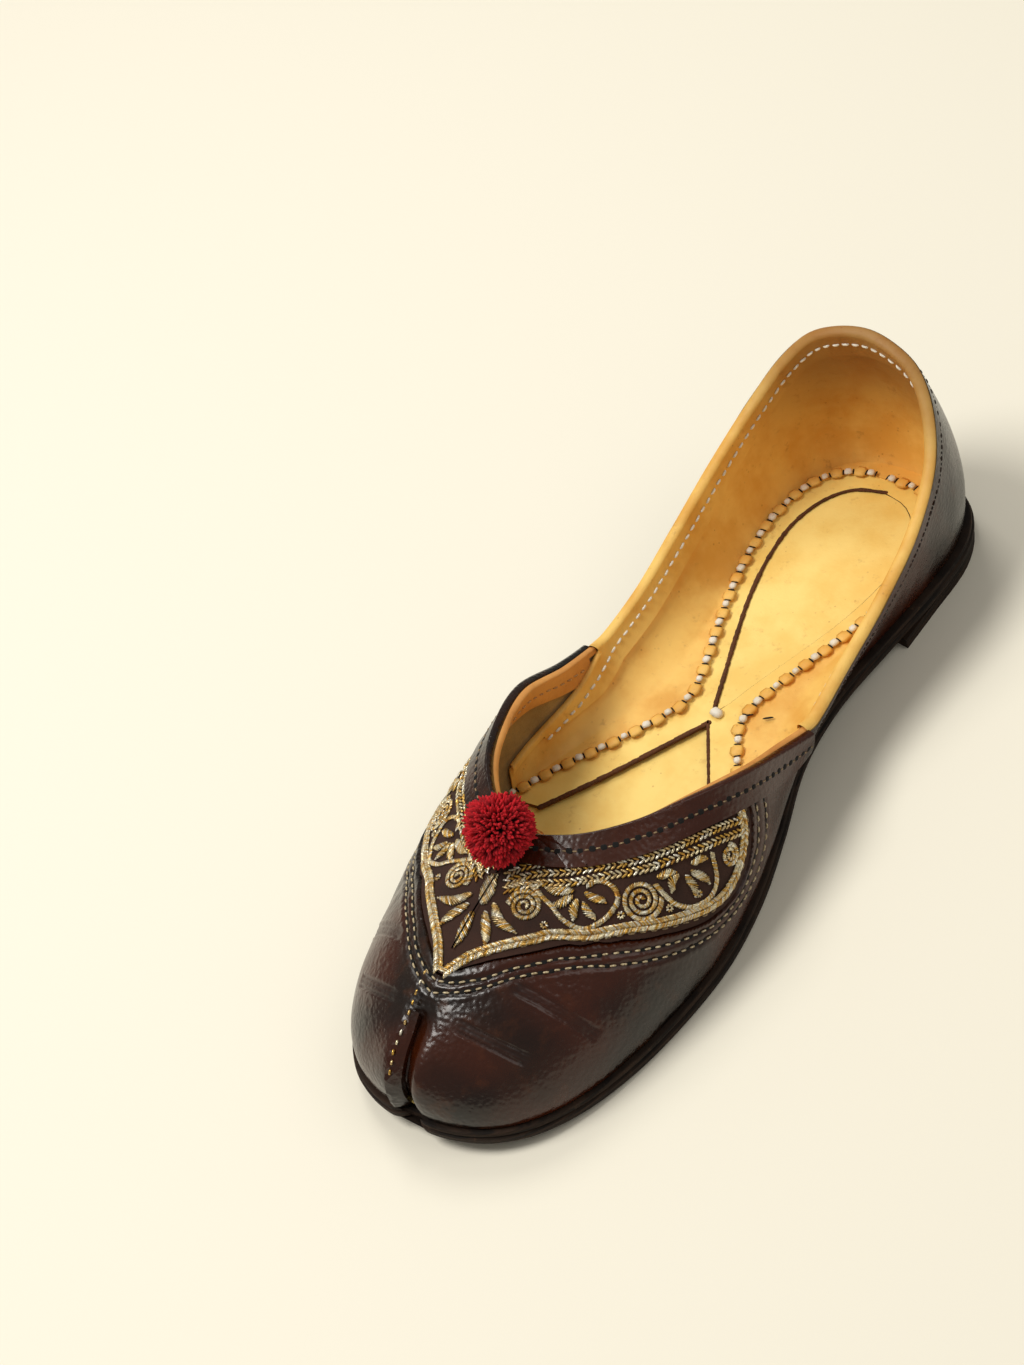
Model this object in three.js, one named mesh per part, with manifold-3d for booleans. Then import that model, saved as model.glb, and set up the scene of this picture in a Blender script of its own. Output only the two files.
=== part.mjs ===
// A mojari: a flat slip-on leather shoe with a low U throat, an embroidered V panel over the vamp,
// a pinched toe seam and a wool pompom. Straight lasted, so the same shoe serves either foot.
import * as THREE from "three";
import { mergeVertices } from "three/addons/utils/BufferGeometryUtils.js";
import Module from "manifold-3d";

const wasm = await Module();
wasm.setup();

// Driving sizes in millimetres. The toe points along -Y, +Z is up, and the origin is on the ground
// under the middle of the heel's flat spot.
const LENGTH = 252; // outsole from heel back to toe
const HEEL_SEAT = 34; // heel back to the origin
const HEEL_WIDTH = 62;
const WAIST_WIDTH = 55;
const BALL_WIDTH = 91;
const TOE_WIDTH = 60; // a little behind the tip
const SOLE_THICKNESS = 4.6;
const LIFT_THICKNESS = 3.4;
const LIFT_LENGTH = 58;
const LIFT_HOLLOW = 3.5; // its front edge curves back by this much
const ARCH_RISE = 1.4;
const TOE_SPRING = 5;
const HEEL_HEIGHT = 69; // top of the counter above the ground
const WAIST_HEIGHT = 24.5; // lowest point of the topline
const THROAT_HEIGHT = 47; // top of the vamp at the middle of the throat
const TOE_HEIGHT = 23; // top of the toe's front face
const THROAT_PLACE = 183; // heel back to the middle of the throat
const WALL = 2.2; // vamp leather with its backing
const VAMP_STEP = 0.8; // the vamp laps over the thinner quarter
const SOLE_LEDGE = 1.8; // the sole stands out past the upper's foot
const NOTCH_DEPTH = 3.5; // cleft in the middle of the toe
const NOTCH_WIDTH = 3;
const NOTCH_START = 26; // back from the toe to where the cleft begins
const NOTCH_FULL = 5; // back from the toe to where it is at its deepest
const HEART_BACK = 20; // the toe seam is pulled in toward a point this far back from the toe
const HEART_HEIGHT = 12;
const INSOLE_THICKNESS = 1.6;
const FRAME_THICKNESS = 1.2;
const PAD_THICKNESS = 0.9;
const LINING_THICKNESS = 0.9;
const BAND_WIDTH = 9.5; // folded band along the quarter's topline
const FACING_WIDTH = 7.5;
const BINDING_WIDTH = 8.5; // strip along the vamp's topline
const TRIM_THICKNESS = 0.8; // binding, band and facing
const PANEL_RECESS = 1.2;
const PANEL_THICKNESS = 0.75;
const FLAP_DROP = 8; // the flaps' cut runs this much farther toward the toe at the sides
const BEYOND = 20; // cutting shapes pass the toe by this
const TAB_WIDTH = 3.8;
const TAB_THICKNESS = 1.3;
const TAB_LENGTH = 17; // from the toe back along the ridge
const POMPOM_DIAMETER = 20;
const POMPOM_AHEAD = 6; // its middle, ahead of the throat
const GAP = 0.3; // between pieces that touch

const smooth = (value, start, end) => {
  const t = Math.min(1, Math.max(0, (value - start) / (end - start)));
  return t * t * (3 - 2 * t);
};
const at = (across, along, height) => new THREE.Vector3(across, HEEL_SEAT - along, height);
const alongOf = (point) => HEEL_SEAT - point.y;

// Half widths and heights that the tables below take their shares of.
const HALF = { heel: HEEL_WIDTH / 2, waist: WAIST_WIDTH / 2, ball: BALL_WIDTH / 2, toe: TOE_WIDTH / 2 };
const HIGH = { heel: HEEL_HEIGHT, waist: WAIST_HEIGHT, throat: THROAT_HEIGHT, toe: TOE_HEIGHT };

// Outline of the sole on the +X side, heel to toe: along in shares of the length, half in shares
// of the half width that by names.
const OUTLINE = [
  { along: 0.000, half: 0.00, by: "heel" },
  { along: 0.005, half: 0.29, by: "heel" },
  { along: 0.020, half: 0.58, by: "heel" },
  { along: 0.047, half: 0.82, by: "heel" },
  { along: 0.094, half: 0.98, by: "heel" },
  { along: 0.165, half: 1.00, by: "heel" },
  { along: 0.250, half: 0.94, by: "heel" },
  { along: 0.345, half: 1.00, by: "waist" },
  { along: 0.430, half: 1.07, by: "waist" },
  { along: 0.518, half: 0.80, by: "ball" },
  { along: 0.608, half: 0.94, by: "ball" },
  { along: 0.686, half: 1.00, by: "ball" },
  { along: 0.765, half: 0.98, by: "ball" },
  { along: 0.840, half: 0.91, by: "ball" },
  { along: 0.902, half: 1.22, by: "toe" },
  { along: 0.949, half: 1.00, by: "toe" },
  { along: 0.979, half: 0.73, by: "toe" },
  { along: 0.994, half: 0.46, by: "toe" },
  { along: 1.000, half: 0.21, by: "toe" },
  { along: 1.000, half: 0.00, by: "toe" },
];

// Topline on the +X side, heel to throat. It is lowest where the vamp's wing meets the quarter.
const TOPLINE = [
  { along: 0.046, half: 0.00, by: "heel", high: 1.000, of: "heel" },
  { along: 0.054, half: 0.32, by: "heel", high: 0.985, of: "heel" },
  { along: 0.070, half: 0.60, by: "heel", high: 0.938, of: "heel" },
  { along: 0.103, half: 0.83, by: "heel", high: 0.845, of: "heel" },
  { along: 0.163, half: 1.03, by: "heel", high: 0.705, of: "heel" },
  { along: 0.261, half: 1.15, by: "heel", high: 0.570, of: "heel" },
  { along: 0.380, half: 1.18, by: "heel", high: 1.300, of: "waist" },
  { along: 0.490, half: 1.33, by: "waist", high: 1.090, of: "waist" },
  { along: 0.572, half: 1.36, by: "waist", high: 1.000, of: "waist" },
  { along: 0.592, half: 1.37, by: "waist", high: 1.010, of: "waist" },
  { along: 0.670, half: 0.81, by: "ball", high: 0.649, of: "throat" },
  { along: 0.760, half: 0.80, by: "ball", high: 0.830, of: "throat" },
  { along: 0.840, half: 0.69, by: "ball", high: 0.928, of: "throat" },
  { along: 0.915, half: 0.53, by: "ball", high: 0.974, of: "throat" },
  { along: 0.975, half: 0.28, by: "ball", high: 0.994, of: "throat" },
  { along: 1.000, half: 0.00, by: "ball", high: 1.000, of: "throat" },
];

// Ridge from the throat to the toe: past in shares of the way from the throat to the toe's end.
const RIDGE = [
  { past: 0.000, high: 1.000, of: "throat" },
  { past: 0.210, high: 0.945, of: "throat" },
  { past: 0.420, high: 0.880, of: "throat" },
  { past: 0.620, high: 0.785, of: "throat" },
  { past: 0.770, high: 0.685, of: "throat" },
  { past: 0.890, high: 1.220, of: "toe" },
  { past: 0.950, high: 1.000, of: "toe" },
];

// Ribs of the upper: foot is a share of the outline's length, top a share of the topline's length
// and from 1 to 2 of the ridge's. Each rib leaves its foot leaning out by outward degrees and comes
// to its top leaning in by inward degrees. Its handles are shares of the rib's chord, and sideways
// turns the upper handle from the outline's normal to straight across.
const RIBS = [
  { foot: 0.000, top: 0.000, outward: 17, lower: 0.30, inward: 15, upper: 0.34, sideways: 0.0 },
  { foot: 0.050, top: 0.045, outward: 17, lower: 0.30, inward: 15, upper: 0.34, sideways: 0.0 },
  { foot: 0.098, top: 0.110, outward: 16, lower: 0.30, inward: 14, upper: 0.34, sideways: 0.0 },
  { foot: 0.142, top: 0.200, outward: 16, lower: 0.30, inward: 10, upper: 0.33, sideways: 0.0 },
  { foot: 0.213, top: 0.295, outward: 18, lower: 0.32, inward: 2, upper: 0.33, sideways: 0.0 },
  { foot: 0.297, top: 0.405, outward: 24, lower: 0.34, inward: -6, upper: 0.33, sideways: 0.0 },
  { foot: 0.382, top: 0.515, outward: 34, lower: 0.36, inward: -12, upper: 0.33, sideways: 0.0 },
  { foot: 0.441, top: 0.590, outward: 36, lower: 0.36, inward: -8, upper: 0.33, sideways: 0.0 },
  { foot: 0.503, top: 0.652, outward: 32, lower: 0.36, inward: 2, upper: 0.33, sideways: 0.1 },
  { foot: 0.574, top: 0.730, outward: 26, lower: 0.36, inward: 16, upper: 0.34, sideways: 0.2 },
  { foot: 0.635, top: 0.800, outward: 20, lower: 0.34, inward: 36, upper: 0.36, sideways: 0.4 },
  { foot: 0.693, top: 0.872, outward: 15, lower: 0.31, inward: 55, upper: 0.38, sideways: 0.6 },
  { foot: 0.743, top: 0.934, outward: 12, lower: 0.29, inward: 70, upper: 0.40, sideways: 0.8 },
  { foot: 0.792, top: 1.000, outward: 11, lower: 0.27, inward: 83, upper: 0.42, sideways: 1.0 },
  { foot: 0.836, top: 1.220, outward: 12, lower: 0.27, inward: 88, upper: 0.42, sideways: 1.0 },
  { foot: 0.875, top: 1.420, outward: 13, lower: 0.28, inward: 88, upper: 0.42, sideways: 1.0 },
  { foot: 0.907, top: 1.620, outward: 14, lower: 0.29, inward: 88, upper: 0.41, sideways: 1.0 },
  { foot: 0.939, top: 1.775, outward: 15, lower: 0.31, inward: 84, upper: 0.40, sideways: 0.9 },
  { foot: 0.966, top: 1.890, outward: 16, lower: 0.33, inward: 76, upper: 0.38, sideways: 0.7 },
  { foot: 0.985, top: 1.960, outward: 16, lower: 0.35, inward: 62, upper: 0.36, sideways: 0.4 },
  { foot: 1.000, top: 2.000, outward: 16, lower: 0.36, inward: 48, upper: 0.36, sideways: 0.0 },
];
const VAMP_RIB = 7; // rear edge of the vamp
const THROAT_RIB = 13; // rib that comes up to the middle of the throat
const TOE_RIB = RIBS.length - 1;

// Lower edge of the embroidered panel: low is the height along the rib, 0 at its foot, 1 at its top.
const PANEL_EDGE = [
  { rib: 9.05, low: 0.800 },
  { rib: 9.12, low: 0.660 },
  { rib: 9.24, low: 0.510 },
  { rib: 9.42, low: 0.410 },
  { rib: 9.70, low: 0.350 },
  { rib: 10.10, low: 0.345 },
  { rib: 10.53, low: 0.374 },
  { rib: 11.00, low: 0.425 },
  { rib: 11.50, low: 0.472 },
  { rib: 12.05, low: 0.505 },
  { rib: 12.80, low: 0.543 },
  { rib: 13.40, low: 0.585 },
  { rib: 13.90, low: 0.645 },
  { rib: 14.40, low: 0.705 },
  { rib: 14.85, low: 0.768 },
  { rib: 15.30, low: 0.845 },
  { rib: 15.62, low: 0.912 },
  { rib: 15.90, low: 0.980 },
];

// Row of thongs inside the shoe, where the quarter's turned-in foot ends on the insole. The two
// sides come close together at the waist and spread again toward the ball.
const THONG_LINE = [
  { along: 0.052, half: 0.00 },
  { along: 0.056, half: 0.23 },
  { along: 0.083, half: 0.43 },
  { along: 0.140, half: 0.53 },
  { along: 0.200, half: 0.52 },
  { along: 0.255, half: 0.46 },
  { along: 0.315, half: 0.36 },
  { along: 0.375, half: 0.25 },
  { along: 0.415, half: 0.20 },
  { along: 0.445, half: 0.25 },
  { along: 0.500, half: 0.44 },
  { along: 0.555, half: 0.66 },
  { along: 0.610, half: 0.83 },
];

// Teardrop opening over the heel pad, with its point at the waist.
const PAD_OPENING = [
  { along: 0.070, half: 0.00 },
  { along: 0.080, half: 0.19 },
  { along: 0.105, half: 0.32 },
  { along: 0.150, half: 0.40 },
  { along: 0.205, half: 0.39 },
  { along: 0.265, half: 0.32 },
  { along: 0.325, half: 0.21 },
  { along: 0.380, half: 0.10 },
  { along: 0.425, half: 0.015 },
];
const FLAP_START = 0.440; // the two front flaps spread from here
const FLAP_END = 0.610;
const FLAP_SPREAD = 0.62;

function closedCurve(side) {
  const mirrored = side.slice(1, -1).reverse().map((p) => new THREE.Vector3(-p.x, p.y, p.z));
  const curve = new THREE.CatmullRomCurve3([...side, ...mirrored], true, "centripetal");
  curve.arcLengthDivisions = 1600;
  return curve;
}

const outline = closedCurve(OUTLINE.map((row) => at(row.half * HALF[row.by], row.along * LENGTH, 0)));
const topline = closedCurve(TOPLINE.map((row) => (
  at(row.half * HALF[row.by], row.along * THROAT_PLACE, row.high * HIGH[row.of])
)));
const ridge = new THREE.CatmullRomCurve3(RIDGE.map((row) => (
  at(0, THROAT_PLACE + row.past * (LENGTH - THROAT_PLACE), row.high * HIGH[row.of])
)), false, "centripetal");
ridge.arcLengthDivisions = 400;

// Point of the sole's outline, share 0 at the heel back and 1 at the toe, moved in by inset.
function outlinePoint(share, inset = 0, notch = 0) {
  const p = outline.getPointAt(share / 2);
  const t = outline.getTangentAt(share / 2);
  p.x -= -t.y * inset;
  p.y -= t.x * inset;
  if (share > 0.8) {
    p.y += notch * Math.exp(-((p.x / NOTCH_WIDTH) ** 2));
  }
  if (share === 0 || share === 1) {
    p.x = 0;
  }
  return p;
}

// Height of the sole's underside: raised on the lift, flat under the ball, sprung at the toe.
const ARCH_START = LIFT_LENGTH;
const BALL_START = 0.59 * LENGTH;
const SPRING_START = 0.80 * LENGTH;
function soleBottom(along) {
  const lifted = (LIFT_THICKNESS + GAP) * (1 - smooth(along, ARCH_START, BALL_START));
  const inArch = along > ARCH_START && along < BALL_START;
  const arch = inArch ? Math.sin((Math.PI * (along - ARCH_START)) / (BALL_START - ARCH_START)) ** 2 : 0;
  const spring = Math.max(0, (along - SPRING_START) / (LENGTH - SPRING_START)) ** 2;
  return lifted + ARCH_RISE * arch + TOE_SPRING * spring;
}
const soleTop = (along) => soleBottom(along) + SOLE_THICKNESS;
const insoleTop = (along) => soleTop(along) + GAP + INSOLE_THICKNESS;
const frameTop = (along) => insoleTop(along) + GAP + FRAME_THICKNESS;

// Value of a table's column between rows, by a Catmull-Rom curve over the row number.
function column(rows, place, name) {
  const last = rows.length - 1;
  const i = Math.min(last - 1, Math.floor(place));
  const t = place - i;
  const value = (k) => rows[Math.min(last, Math.max(0, k))][name];
  const [a, b, c, d] = [value(i - 1), value(i), value(i + 1), value(i + 2)];
  const slope0 = (c - a) / 2;
  const slope1 = (d - b) / 2;
  const t2 = t * t;
  const t3 = t2 * t;
  return (2 * t3 - 3 * t2 + 1) * b + (t3 - 2 * t2 + t) * slope0
    + (-2 * t3 + 3 * t2) * c + (t3 - t2) * slope1;
}

// Value of a table's column where its key has the given value, in straight steps.
function lookUp(rows, key, wanted, name) {
  const next = rows.findIndex((row) => row[key] >= wanted);
  if (next <= 0) {
    return rows[next === 0 ? 0 : rows.length - 1][name];
  }
  const [a, b] = [rows[next - 1], rows[next]];
  return a[name] + ((b[name] - a[name]) * (wanted - a[key])) / (b[key] - a[key]);
}

const CREASE_HEART = at(0, LENGTH - HEART_BACK, HEART_HEIGHT); // the toe seam is pulled in toward it

// Outside of the upper on the +X side at a rib number and a height v along the rib.
function skin(rib, v) {
  const row = (name) => column(RIBS, rib, name);
  const footShare = Math.min(1, Math.max(0, row("foot")));
  const foot = outlinePoint(footShare, SOLE_LEDGE);
  foot.z = soleTop(alongOf(foot)) + GAP;
  const tangent = outline.getTangentAt(footShare / 2);
  const normal = new THREE.Vector3(-tangent.y, tangent.x, 0).normalize();
  const topShare = rib >= THROAT_RIB ? Math.max(1, row("top")) : Math.min(1, row("top"));
  const top = topShare > 1 ? ridge.getPointAt(Math.min(1, topShare - 1)) : topline.getPointAt(topShare / 2);
  const chord = foot.distanceTo(top);
  const outward = THREE.MathUtils.degToRad(row("outward"));
  const inward = THREE.MathUtils.degToRad(row("inward"));
  const across = normal.clone().lerp(new THREE.Vector3(1, 0, 0), row("sideways")).normalize();
  const lower = foot.clone().addScaledVector(normal, Math.sin(outward) * row("lower") * chord);
  lower.z += Math.cos(outward) * row("lower") * chord;
  const upper = top.clone().addScaledVector(across, Math.sin(inward) * row("upper") * chord);
  upper.z -= Math.cos(inward) * row("upper") * chord;
  const point = new THREE.CubicBezierCurve3(foot, lower, upper, top).getPoint(v);
  if (rib <= 0 || rib >= TOE_RIB || (v >= 1 && rib >= THROAT_RIB)) {
    point.x = 0;
  }
  const along = alongOf(point);
  const depth = NOTCH_DEPTH * smooth(along, LENGTH - NOTCH_START, LENGTH - NOTCH_FULL);
  const pull = depth * Math.exp(-((point.x / NOTCH_WIDTH) ** 2));
  return point.addScaledVector(CREASE_HEART.clone().sub(point).setX(0).normalize(), pull);
}

// The same point moved out by offset along the surface's normal.
function skinOut(rib, v, offset) {
  const p = skin(rib, v);
  const ribStep = rib > TOE_RIB - 0.02 ? -0.01 : 0.01;
  const vStep = v > 0.98 ? -0.01 : 0.01;
  const alongRibs = skin(rib + ribStep, v).sub(p).divideScalar(ribStep);
  const upRib = skin(rib, v + vStep).sub(p).divideScalar(vStep);
  const normal = upRib.cross(alongRibs);
  const onSeam = rib <= 0 || rib >= TOE_RIB || (v >= 1 && rib >= THROAT_RIB);
  if (onSeam) {
    normal.x = 0;
  }
  normal.normalize();
  const moved = p.clone().addScaledVector(normal, offset);
  moved.x = onSeam ? 0 : Math.max(0, moved.x);
  if (v <= 0) {
    moved.z = p.z;
  }
  return moved;
}

function ribLength(rib) {
  let length = 0;
  for (let k = 0; k < 8; k += 1) {
    length += skin(rib, k / 8).distanceTo(skin(rib, (k + 1) / 8));
  }
  return length;
}

const MARKS = 240;
const TOPLINE_MARKS = Array.from({ length: MARKS + 1 }, (_, k) => topline.getPointAt(k / MARKS / 2));
const fromTopline = (point) => Math.min(...TOPLINE_MARKS.map((mark) => mark.distanceTo(point)));

// Height along a rib at the lower edge of a strip of the given width below the topline.
function stripEdge(rib, width) {
  if (rib > THROAT_RIB && fromTopline(skin(rib, 1)) >= width) {
    return 1;
  }
  let [low, high] = [0.2, 1];
  for (let k = 0; k < 14; k += 1) {
    const middle = (low + high) / 2;
    if (fromTopline(skin(rib, middle)) > width) {
      low = middle;
    } else {
      high = middle;
    }
  }
  return low;
}

// Rib ahead of the throat where such a strip crosses the ridge.
function stripEnd(width) {
  let rib = THROAT_RIB;
  while (fromTopline(skin(rib, 1)) < width) {
    rib += 0.01;
  }
  return rib;
}

function steps(start, end, count) {
  return Array.from({ length: count + 1 }, (_, k) => start + ((end - start) * k) / count);
}

function toManifold(positions, triangles) {
  const geometry = new THREE.BufferGeometry();
  geometry.setAttribute("position", new THREE.Float32BufferAttribute(positions, 3));
  geometry.setIndex(triangles);
  return fromGeometry(geometry);
}

function fromGeometry(source) {
  const geometry = source.clone();
  geometry.deleteAttribute("normal");
  geometry.deleteAttribute("uv");
  const merged = mergeVertices(geometry, 1e-4);
  return new wasm.Manifold(new wasm.Mesh({
    numProp: 3,
    vertProperties: new Float32Array(merged.attributes.position.array),
    triVerts: new Uint32Array(merged.index.array),
  }));
}

// Closed solid between two grids of points: grid[i][j], with the outer one facing out.
function between(outer, inner) {
  const rows = outer.length;
  const columns = outer[0].length;
  const positions = [];
  [outer, inner].forEach((grid) => grid.flat().forEach((p) => positions.push(p.x, p.y, p.z)));
  const o = (i, j) => i * columns + j;
  const n = (i, j) => rows * columns + o(i, j);
  const triangles = [];
  const quad = (a, b, c, d) => triangles.push(a, b, c, a, c, d);
  for (let i = 0; i < rows - 1; i += 1) {
    for (let j = 0; j < columns - 1; j += 1) {
      quad(o(i, j), o(i, j + 1), o(i + 1, j + 1), o(i + 1, j));
      quad(n(i, j), n(i + 1, j), n(i + 1, j + 1), n(i, j + 1));
    }
    quad(o(i, 0), o(i + 1, 0), n(i + 1, 0), n(i, 0));
    quad(o(i + 1, columns - 1), o(i, columns - 1), n(i, columns - 1), n(i + 1, columns - 1));
  }
  for (let j = 0; j < columns - 1; j += 1) {
    quad(o(0, j + 1), o(0, j), n(0, j), n(0, j + 1));
    quad(o(rows - 1, j), o(rows - 1, j + 1), n(rows - 1, j + 1), n(rows - 1, j));
  }
  return toManifold(positions, triangles);
}

const bothSides = (half) => half.add(half.mirror([1, 0, 0]));

// Half of a piece that follows the upper: ribs, and for each the heights along it.
function layer(ribs, heights, outside, inside) {
  const grid = (offset) => ribs.map((rib) => (
    heights(rib).map((v) => skinOut(rib, v, typeof offset === "function" ? offset(rib) : offset))
  ));
  return between(grid(outside), grid(inside));
}

const UPPER_HEIGHTS = [0, 0.08, 0.18, 0.3, 0.43, 0.56, 0.67, 0.76, 0.83, 0.885, 0.93, 0.97, 1];
const EDGE = 0.02; // ribs on each side of the vamp's rear edge
const QUARTER_RIBS = steps(0, VAMP_RIB - EDGE, 14);
const WING_RIBS = steps(VAMP_RIB + EDGE, THROAT_RIB, 12);
const TOE_RIBS = steps(THROAT_RIB, TOE_RIB, 14).slice(1);
const ALL_RIBS = [...QUARTER_RIBS, ...WING_RIBS, ...TOE_RIBS];
const ribsTo = (end) => [...ALL_RIBS.filter((rib) => rib < end - 0.1), end];

function panelHalf(margin, outside, inside) {
  const ribs = [...PANEL_EDGE.map((row) => row.rib)];
  const ribWay = skin(9.5, 0.6).distanceTo(skin(8.5, 0.6));
  const shift = margin / ribWay;
  ribs[0] += shift;
  ribs[ribs.length - 1] -= shift;
  const heights = (rib) => {
    const low = lookUp(PANEL_EDGE, "rib", rib, "low") + margin / ribLength(rib);
    const edge = stripEdge(rib, BINDING_WIDTH);
    const high = edge < 1 ? edge - margin / ribLength(rib) : 1;
    return steps(low, high, 4);
  };
  return layer(ribs, heights, outside, inside);
}

function makeUpper() {
  const outside = (rib) => (rib < VAMP_RIB ? -VAMP_STEP : 0);
  const shell = bothSides(layer(ALL_RIBS, () => UPPER_HEIGHTS, outside, -WALL));
  return shell.subtract(bothSides(panelHalf(0, 2, -PANEL_RECESS)));
}

function makePanel() {
  const bottom = GAP - PANEL_RECESS;
  return bothSides(panelHalf(GAP, bottom + PANEL_THICKNESS, bottom));
}

function makeBinding() {
  const end = stripEnd(BINDING_WIDTH - 0.3);
  const ribs = [...WING_RIBS, ...steps(THROAT_RIB, end, 3).slice(1)];
  const heights = (rib) => steps(stripEdge(rib, BINDING_WIDTH), 1, 4);
  return bothSides(layer(ribs, heights, GAP + TRIM_THICKNESS, GAP));
}

// Top edge of the quarter's lining: on the topline, then down inside the vamp to the insole.
const LINING_END = 9.1;
const LINING_BEND = 0.34; // height along the rib where the wall begins to turn in
function liningTop(rib) {
  const dive = Math.max(0, (rib - VAMP_RIB + 0.4) / (LINING_END - VAMP_RIB + 0.4));
  return 1 - 0.74 * Math.min(1, dive);
}

// Point of the thong row level with a rib, at a height over the frame.
const thongs = new THREE.CatmullRomCurve3(
  THONG_LINE.map((row) => at(row.half * HALF.ball, row.along * LENGTH, 0)), false, "centripetal",
);
function thongPoint(rib, above) {
  const p = thongs.getPointAt(Math.min(1, rib / LINING_END));
  if (rib <= 0) {
    p.x = 0;
  }
  p.z = frameTop(alongOf(p)) + above;
  return p;
}

// The quarter's lining: down the wall, then turned in over the insole to the thongs.
function liningSection(rib, offset, above) {
  const wall = steps(Math.min(LINING_BEND, liningTop(rib) - 0.05), liningTop(rib), 5)
    .map((v) => skinOut(rib, v, offset));
  const tip = thongPoint(rib, above);
  const foot = skinOut(rib, 0.12, offset - 0.8);
  foot.z = frameTop(alongOf(foot)) + above;
  const middle = tip.clone().lerp(foot, 0.55);
  middle.z = frameTop(alongOf(middle)) + above;
  const bend = foot.clone().lerp(wall[0], 0.45);
  bend.z = foot.z + (wall[0].z - foot.z) * 0.3;
  return [tip, middle, foot.clone().lerp(middle, 0.15).setZ(foot.z), bend, ...wall];
}

function makeLining() {
  const ribs = ribsTo(LINING_END);
  const outer = ribs.map((rib) => liningSection(rib, -WALL - GAP, GAP));
  const inner = ribs.map((rib) => liningSection(rib, -WALL - GAP - LINING_THICKNESS, GAP + LINING_THICKNESS));
  return bothSides(between(outer, inner));
}

function makeBand() {
  const outside = -WALL - LINING_THICKNESS - 2 * GAP;
  const heights = (rib) => {
    const high = liningTop(rib);
    return steps(Math.max(LINING_BEND + 0.02, high - BAND_WIDTH / ribLength(rib)), high, 2);
  };
  return bothSides(layer(ribsTo(LINING_END - 0.6), heights, outside, outside - TRIM_THICKNESS));
}

// Narrow strip inside the vamp's topline, from where the quarter's lining has dived below it.
const FACING_START = 8.2;
function makeFacing() {
  const end = stripEnd(FACING_WIDTH - 0.3);
  const ribs = [...WING_RIBS.filter((rib) => rib > FACING_START), ...steps(THROAT_RIB, end, 3).slice(1)];
  const heights = (rib) => [stripEdge(rib, FACING_WIDTH), (1 + stripEdge(rib, FACING_WIDTH)) / 2, 1];
  return bothSides(layer(ribs, heights, -WALL - GAP, -WALL - GAP - TRIM_THICKNESS));
}

// Folded tab on the toe seam's -X side: a thick layer over the toe, cut to a narrow strip.
function makeSeamTab() {
  const ribs = steps(15.5, TOE_RIB, 14);
  const over = layer(ribs, () => [0.06, 0.2, 0.4, 0.6, 0.75, 0.85, 0.92, 0.97, 1], GAP + TAB_THICKNESS, GAP);
  const strip = new THREE.BoxGeometry(TAB_WIDTH, 2 * TAB_LENGTH, 2 * HEEL_HEIGHT);
  strip.translate(GAP + TAB_WIDTH / 2, HEEL_SEAT - LENGTH, 0);
  return over.intersect(fromGeometry(strip)).mirror([1, 0, 0]);
}

// Plate that follows the sole: rings from the bottom up, each an inset and a height function.
const PLATE_STEPS = 44;
const PLATE_CROWDING = 0.04; // brings the steps closer round the heel and the toe
function plate(rings, notch) {
  const shares = steps(0, 1, PLATE_STEPS).map((t) => t - PLATE_CROWDING * Math.sin(2 * Math.PI * t));
  const positions = [];
  rings.forEach(({ inset, height }) => {
    shares.forEach((share) => {
      const p = outlinePoint(share, inset, notch);
      positions.push(p.x, p.y, height(alongOf(p)));
    });
    shares.slice(1, -1).reverse().forEach((share) => {
      const p = outlinePoint(share, inset, notch);
      positions.push(-p.x, p.y, height(alongOf(p)));
    });
  });
  const round = 2 * PLATE_STEPS;
  const triangles = [];
  rings.slice(1).forEach((_, k) => {
    for (let i = 0; i < round; i += 1) {
      const [a, b] = [k * round + i, k * round + ((i + 1) % round)];
      triangles.push(a, a + round, b + round, a, b + round, b);
    }
  });
  const cap = (start, flip) => {
    for (let i = 0; i < PLATE_STEPS; i += 1) {
      const [a, b] = [start + i, start + i + 1];
      const [c, d] = [start + ((round - i - 1) % round), start + ((round - i) % round)];
      const faces = i === 0 ? [[a, b, c]] : i === PLATE_STEPS - 1 ? [[a, b, d]] : [[a, b, c], [a, c, d]];
      faces.forEach((face) => triangles.push(...(flip ? face.reverse() : face)));
    }
  };
  cap(0, false);
  cap((rings.length - 1) * round, true);
  return toManifold(positions, triangles);
}

// Outsole: a rounded lower edge, a worn step half way up and a feathered top edge.
function makeOutsole() {
  const level = (share) => (along) => soleBottom(along) + share * SOLE_THICKNESS;
  return plate([
    { inset: 0.9, height: level(0) },
    { inset: 0.1, height: level(0.14) },
    { inset: 0.0, height: level(0.5) },
    { inset: 0.7, height: level(0.58) },
    { inset: 0.4, height: level(0.9) },
    { inset: 0.9, height: level(1) },
  ], NOTCH_DEPTH);
}

function flatShape(points) {
  return new THREE.Shape(points.map((p) => new THREE.Vector2(p.x, p.y)));
}

function prism(points, bottom, top) {
  const geometry = new THREE.ExtrudeGeometry(flatShape(points), { depth: top - bottom, bevelEnabled: false });
  geometry.translate(0, 0, bottom);
  return fromGeometry(geometry);
}

const mirrorPoints = (side) => [
  ...side,
  ...side.filter((p) => p.x > 1e-6).reverse().map((p) => new THREE.Vector3(-p.x, p.y, p.z)),
];

function makeLift() {
  const side = steps(0, 0.2, 18).map((share) => outlinePoint(share, 0.6)).filter((p) => alongOf(p) < LIFT_LENGTH);
  side.push(at(side.at(-1).x, LIFT_LENGTH, 0));
  side.push(at(side.at(-1).x * 0.5, LIFT_LENGTH - 0.7 * LIFT_HOLLOW, 0));
  side.push(at(0, LIFT_LENGTH - LIFT_HOLLOW, 0));
  return prism(mirrorPoints(side).reverse(), 0, LIFT_THICKNESS);
}

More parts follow.
